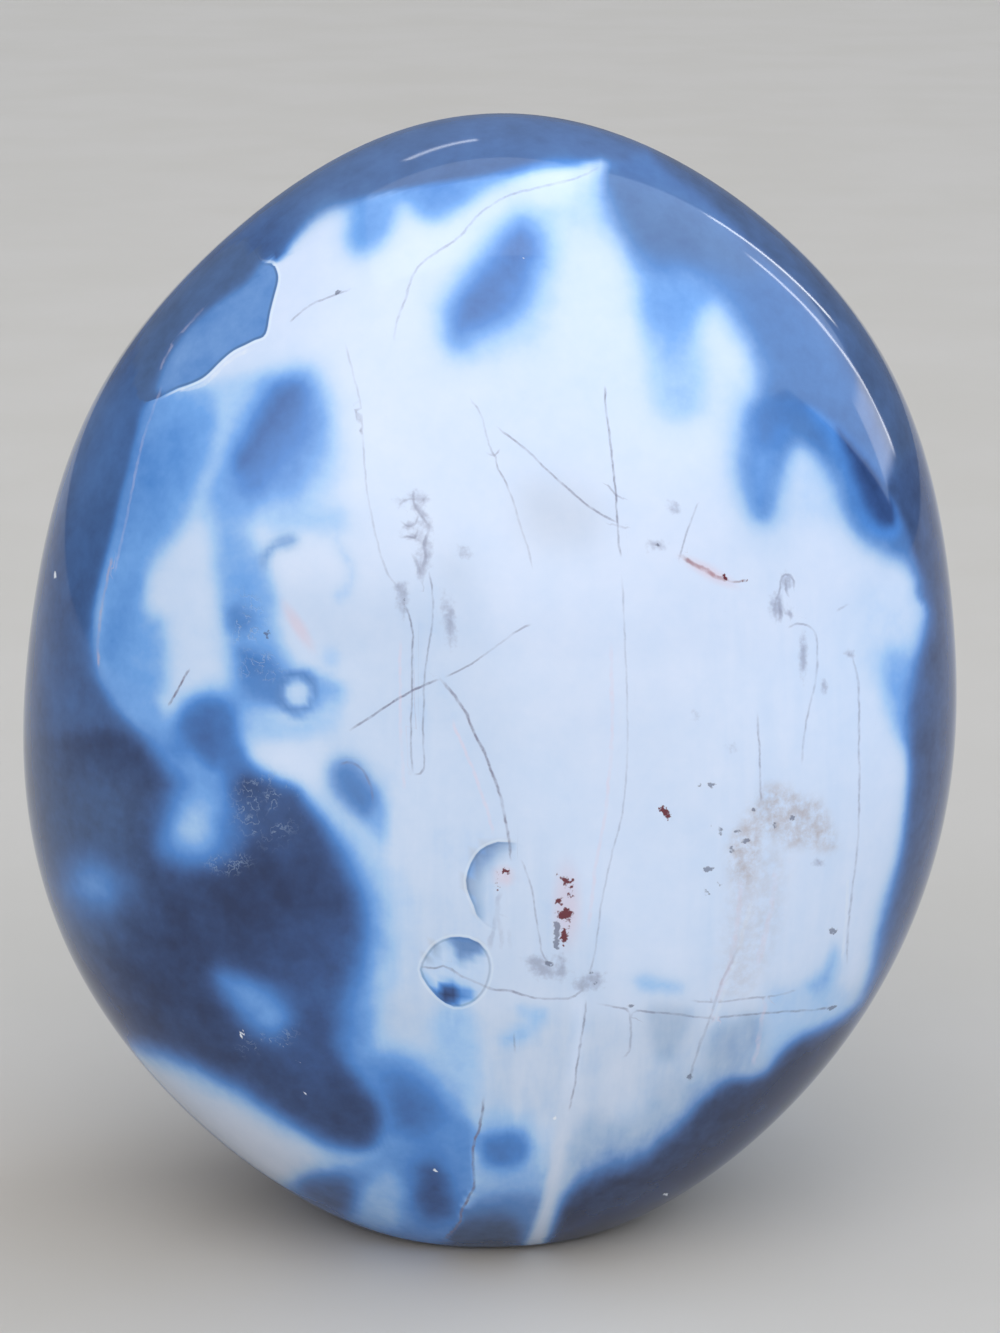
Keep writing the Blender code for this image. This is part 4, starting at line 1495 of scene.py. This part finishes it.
def with_soft_spots(tree, base, places):
    """Pink haze, clay and smoke."""
    haze = times(tree, between(tree, stored(tree, "pink"), *HAZE_EDGE), HAZE_STRENGTH)
    base = mixed(tree, haze, base, PINK_COLOUR)
    dust = grain(tree, places, DUST_SIZE, detail=5.0, roughness=0.65)
    soil = times(tree, stored(tree, "soil"), between(tree, dust, *DUST_EDGE))
    base = mixed(tree, soil, base, SOIL_COLOUR)
    breath = lumps(tree, places, BREATH_SIZE)
    smoke = between(tree, plus_times(tree, stored(tree, "smoke"), breath, BREATH), *SMOKE_EDGE)
    return mixed(tree, times(tree, smoke, SMOKE_STRENGTH), base, SMOKE_COLOUR)


def with_hard_spots(tree, base, places):
    """Dark dots, white specks and rust."""
    dots = times(tree, ragged_spots(tree, "dots", places, *DOT_NOISE), DOT_STRENGTH)
    base = mixed(tree, dots, base, DOT_COLOUR)
    base = mixed(tree, ragged_spots(tree, "specks", places, *SPECK_NOISE), base, SPECK_COLOUR)
    return mixed(tree, ragged_spots(tree, "rust", places, *RUST_NOISE), base, RUST_COLOUR)


def pitted(tree, places):
    """The share of broken-out polish: thin crinkled ridges in the rough patches."""
    ridge = sum_up(tree, "ABSOLUTE", lumps(tree, places, PIT_RIDGE_SIZE))
    ridge = less(tree, 1.0, between(tree, ridge, *PIT_RIDGE_EDGE))
    broken = between(tree, grain(tree, places, PIT_PATCH_SIZE, detail=2.0), *PIT_PATCH_EDGE)
    crinkles = times(tree, ridge, broken)
    return times(tree, crinkles, between(tree, stored(tree, "rough"), *PIT_FIELD_EDGE))


# %% [markdown]
# ### The stone, finished
#
# The colour, the roughness and the relief meet in one shader. The roughness varies a
# little over the whole stone, as a hand polish does, and rises in the pits. Then the
# mesh becomes the piece that stands in for the CAD part's stone.

# %% Stone finish
STONE_IOR = 1.54
PIT_TINT = 0.45
POLISH_SIZE = 14.0
POLISH = (0.035, 0.05)  # the roughness, and how much more of it the noise adds
PIT_ROUGHNESS = 0.35
PIT_RELIEF = (0.5, 0.05)  # its strength, and its depth in millimetres


def stone_colour(tree, places, pits):
    """The colour of the skin: clouds, then edges, cracks, spots and pits."""
    level = cloud_level(tree, places)
    blue = ramp(tree, level, CLOUD_STOPS)
    grey = ramp(tree, level, SLATE_AND_REFLECTION_STOPS)
    # The grey share mixes in the greyer ramp: slate, and the painted reflection along the rim
    # bands.
    base = with_edge_lines_and_highlights(tree, mixed(tree, stored(tree, "slate"), blue, grey))
    base = with_cracks(tree, base, places)
    base = with_hairlines_behind(tree, base, places)
    base = with_hard_spots(tree, with_soft_spots(tree, base, places), places)
    return mixed(tree, times(tree, pits, PIT_TINT), base, PIT_COLOUR)


def stone_finish():
    material = bpy.data.materials.new("stone_finish")
    material.use_nodes = True
    tree = material.node_tree
    shader = tree.nodes["Principled BSDF"]
    places = step(tree, "ShaderNodeTexCoord").outputs["Object"]
    pits = pitted(tree, places)
    tree.links.new(stone_colour(tree, places, pits), shader.inputs["Base Color"])
    smoothest, range_of_polish = POLISH
    dull = plus_times(tree, smoothest, grain(tree, places, POLISH_SIZE), range_of_polish)
    tree.links.new(plus_times(tree, dull, pits, PIT_ROUGHNESS), shader.inputs["Roughness"])
    strength, depth = PIT_RELIEF
    inputs = {"Height": pits, "Strength": strength, "Distance": depth * MM}
    relief = step(tree, "ShaderNodeBump", inputs, invert=True)
    tree.links.new(relief.outputs["Normal"], shader.inputs["Normal"])
    shader.inputs["IOR"].default_value = STONE_IOR
    return material


stone = bpy.data.objects.new("stone_freeform", mesh)
bpy.context.scene.collection.objects.link(stone)
mesh.materials.append(stone_finish())
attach(stone, "root")
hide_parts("stone")
print("nodes in the finish:", len(mesh.materials[0].node_tree.nodes))

# %% [markdown]
# ## A pale floor
#
# The stone stands on a plain pale sheet, wide enough to reach the horizon. A faint
# mottle keeps it from looking like a drawing.

# %% Floor
FLOOR_SIDE = 8.0  # metres
FLOOR_COLOURS = (colour(200, 195, 187), colour(203, 198, 191))
FLOOR_MOTTLE = 60.0
MOTTLE_EDGE = (0.3, 0.7)
FLOOR_ROUGHNESS = 0.7


def floor_finish():
    material = bpy.data.materials.new("floor_finish")
    material.use_nodes = True
    tree = material.node_tree
    shader = tree.nodes["Principled BSDF"]
    places = step(tree, "ShaderNodeTexCoord").outputs["Object"]
    mottle = between(tree, grain(tree, places, FLOOR_MOTTLE, detail=5.0), *MOTTLE_EDGE)
    tree.links.new(mixed(tree, mottle, *FLOOR_COLOURS), shader.inputs["Base Color"])
    shader.inputs["Roughness"].default_value = FLOOR_ROUGHNESS
    return material


def make_floor():
    sheet = bmesh.new()
    bmesh.ops.create_grid(sheet, x_segments=8, y_segments=8, size=FLOOR_SIDE / 2)
    floor_mesh = bpy.data.meshes.new("floor")
    sheet.to_mesh(floor_mesh)
    sheet.free()
    floor = bpy.data.objects.new("floor", floor_mesh)
    bpy.context.scene.collection.objects.link(floor)
    floor_mesh.materials.append(floor_finish())
    return floor


floor = make_floor()
print("floor:", FLOOR_SIDE, "m across")

# %% [markdown]
# ## Soft light
#
# A polished stone is lit as much by what it mirrors as by what falls on it. So the
# surroundings do most of the work: dim walls under a paler ceiling, a large soft glow
# behind the camera, a tall skylight on the right with a slanting lower edge, and narrow
# bright strips that draw the long streaks along the shoulder. One soft lamp overhead
# grounds the stone with a shadow.

# %% Light
LAMP_PLACE = (-0.10, -0.15, 1.00)  # metres
LAMP_SIDE = 0.8
LAMP_POWER = 1.6  # watts
LAMP_TINT = (0.95, 0.98, 1.0)
WALLS = (0.20, 0.22, 0.26)
CEILING = (0.44, 0.46, 0.50)
CEILING_RISE = (15.0, 65.0)  # elevations in degrees over which walls become ceiling
GLOW = (2.05, 2.00, 1.93)
GLOW_TOWARDS = (0.0, -0.90, 0.43)
GLOW_EDGE = (0.45, 0.97)  # cosines from its middle
GLOW_RISE = (0.0, 25.0)
SKYLIGHT = (1.20, 1.42, 1.72)
SKYLIGHT_SPAN = (52.0, 180.0)  # degrees round from straight behind the stone
SKYLIGHT_SIDE_EDGE = 1.0
SKYLIGHT_FADE = (150.0, 110.0)  # it fades out on its way round to the camera
SKYLIGHT_POINT = (82.0, 6.0)  # its lowest corner
SKYLIGHT_SLOPE = 0.85
SKYLIGHT_SILL = 29.0  # its sloping lower edge rises no higher than this
SKYLIGHT_SILL_EDGE = 0.4
STRIP_EDGES = (0.5, 1.5)  # degrees, beside and above
STRIPS = (  # azimuths and elevations in degrees, and how bright
    ("shoulder strip", (52.6, 54.2), (23.0, 44.0), 9.0),
    ("inner strip", (64.8, 66.6), (9.0, 41.0), 8.0),
    ("low wedge", (66.0, 81.0), (9.0, 20.0), 3.0),
    ("crown strip", (-33.0, -8.0), (54.0, 56.0), 5.0),
)


def make_lamp():
    """A square lamp overhead, turned towards the stone's middle."""
    data = bpy.data.lights.new("overhead", "AREA")
    data.shape = "RECTANGLE"
    data.size = data.size_y = LAMP_SIDE
    data.energy = LAMP_POWER
    data.color = LAMP_TINT
    lamp = bpy.data.objects.new("overhead", data)
    bpy.context.scene.collection.objects.link(lamp)
    lamp.visible_camera = False
    away = np.array(LAMP_PLACE) - STONE_MIDDLE * MM
    away /= np.linalg.norm(away)
    side = np.cross((0.0, 1.0, 0.0), away)
    side /= np.linalg.norm(side)
    turn = Matrix((side, np.cross(away, side), away)).transposed().to_4x4()
    lamp.matrix_world = Matrix.Translation(LAMP_PLACE) @ turn
    return lamp


def azimuth_and_elevation(tree, direction):
    """Both in degrees. The azimuth is 0 straight behind the stone and 90 on its right."""
    parts = step(tree, "ShaderNodeSeparateXYZ", {0: direction}).outputs
    azimuth = sum_up(tree, "ARCTAN2", parts["X"], parts["Y"])
    elevation = sum_up(tree, "ARCSINE", parts["Z"])
    return sum_up(tree, "DEGREES", azimuth), sum_up(tree, "DEGREES", elevation)


def in_range(tree, value, limits, softness):
    low, high = limits
    above = between(tree, value, low - softness, low + softness)
    below = between(tree, value, high + softness, high - softness)
    return times(tree, above, below)


def skylight_share(tree, azimuth, elevation):
    """The tall window: a slanting lower edge, a straight left one and a soft right one."""
    lowest, height = SKYLIGHT_POINT
    turned = sum_up(tree, "ABSOLUTE", less(tree, azimuth, lowest))
    edge = plus_times(tree, height, turned, SKYLIGHT_SLOPE)
    edge = sum_up(tree, "MINIMUM", edge, SKYLIGHT_SILL)
    above = less(tree, elevation, edge)
    over = between(tree, above, -SKYLIGHT_SILL_EDGE, SKYLIGHT_SILL_EDGE)
    across = in_range(tree, azimuth, SKYLIGHT_SPAN, SKYLIGHT_SIDE_EDGE)
    return times(tree, over, times(tree, across, between(tree, azimuth, *SKYLIGHT_FADE)))


def with_strips(tree, shade, azimuth, elevation):
    """The narrow strips, laid over the light that is there."""
    beside, above = STRIP_EDGES
    for name, azimuths, elevations, brightness in STRIPS:
        across = in_range(tree, azimuth, azimuths, beside)
        upward = in_range(tree, elevation, elevations, above)
        bright = (brightness, brightness, brightness, 1.0)
        shade = mixed(tree, times(tree, across, upward), shade, bright)
    return shade


def make_surroundings():
    """Dim walls, a paler ceiling, a soft glow behind the camera and a tall skylight."""
    world = bpy.data.worlds.new("studio")
    bpy.context.scene.world = world
    world.use_nodes = True
    tree = world.node_tree
    direction = step(tree, "ShaderNodeTexCoord").outputs["Generated"]
    azimuth, elevation = azimuth_and_elevation(tree, direction)
    rise = between(tree, elevation, *CEILING_RISE)
    shade = mixed(tree, rise, (*WALLS, 1.0), (*CEILING, 1.0))
    aim = {0: direction, 1: GLOW_TOWARDS}
    facing = step(tree, "ShaderNodeVectorMath", aim, operation="DOT_PRODUCT").outputs["Value"]
    glow = between(tree, facing, *GLOW_EDGE)
    glow = times(tree, glow, between(tree, elevation, *GLOW_RISE))
    shade = mixed(tree, glow, shade, (*GLOW, 1.0))
    skylight = skylight_share(tree, azimuth, elevation)
    shade = mixed(tree, skylight, shade, (*SKYLIGHT, 1.0))
    shade = with_strips(tree, shade, azimuth, elevation)
    tree.links.new(shade, tree.nodes["Background"].inputs["Color"])


make_lamp()
make_surroundings()
bpy.context.scene.view_settings.view_transform = "Standard"
print("strips of light:", [strip[0] for strip in STRIPS])
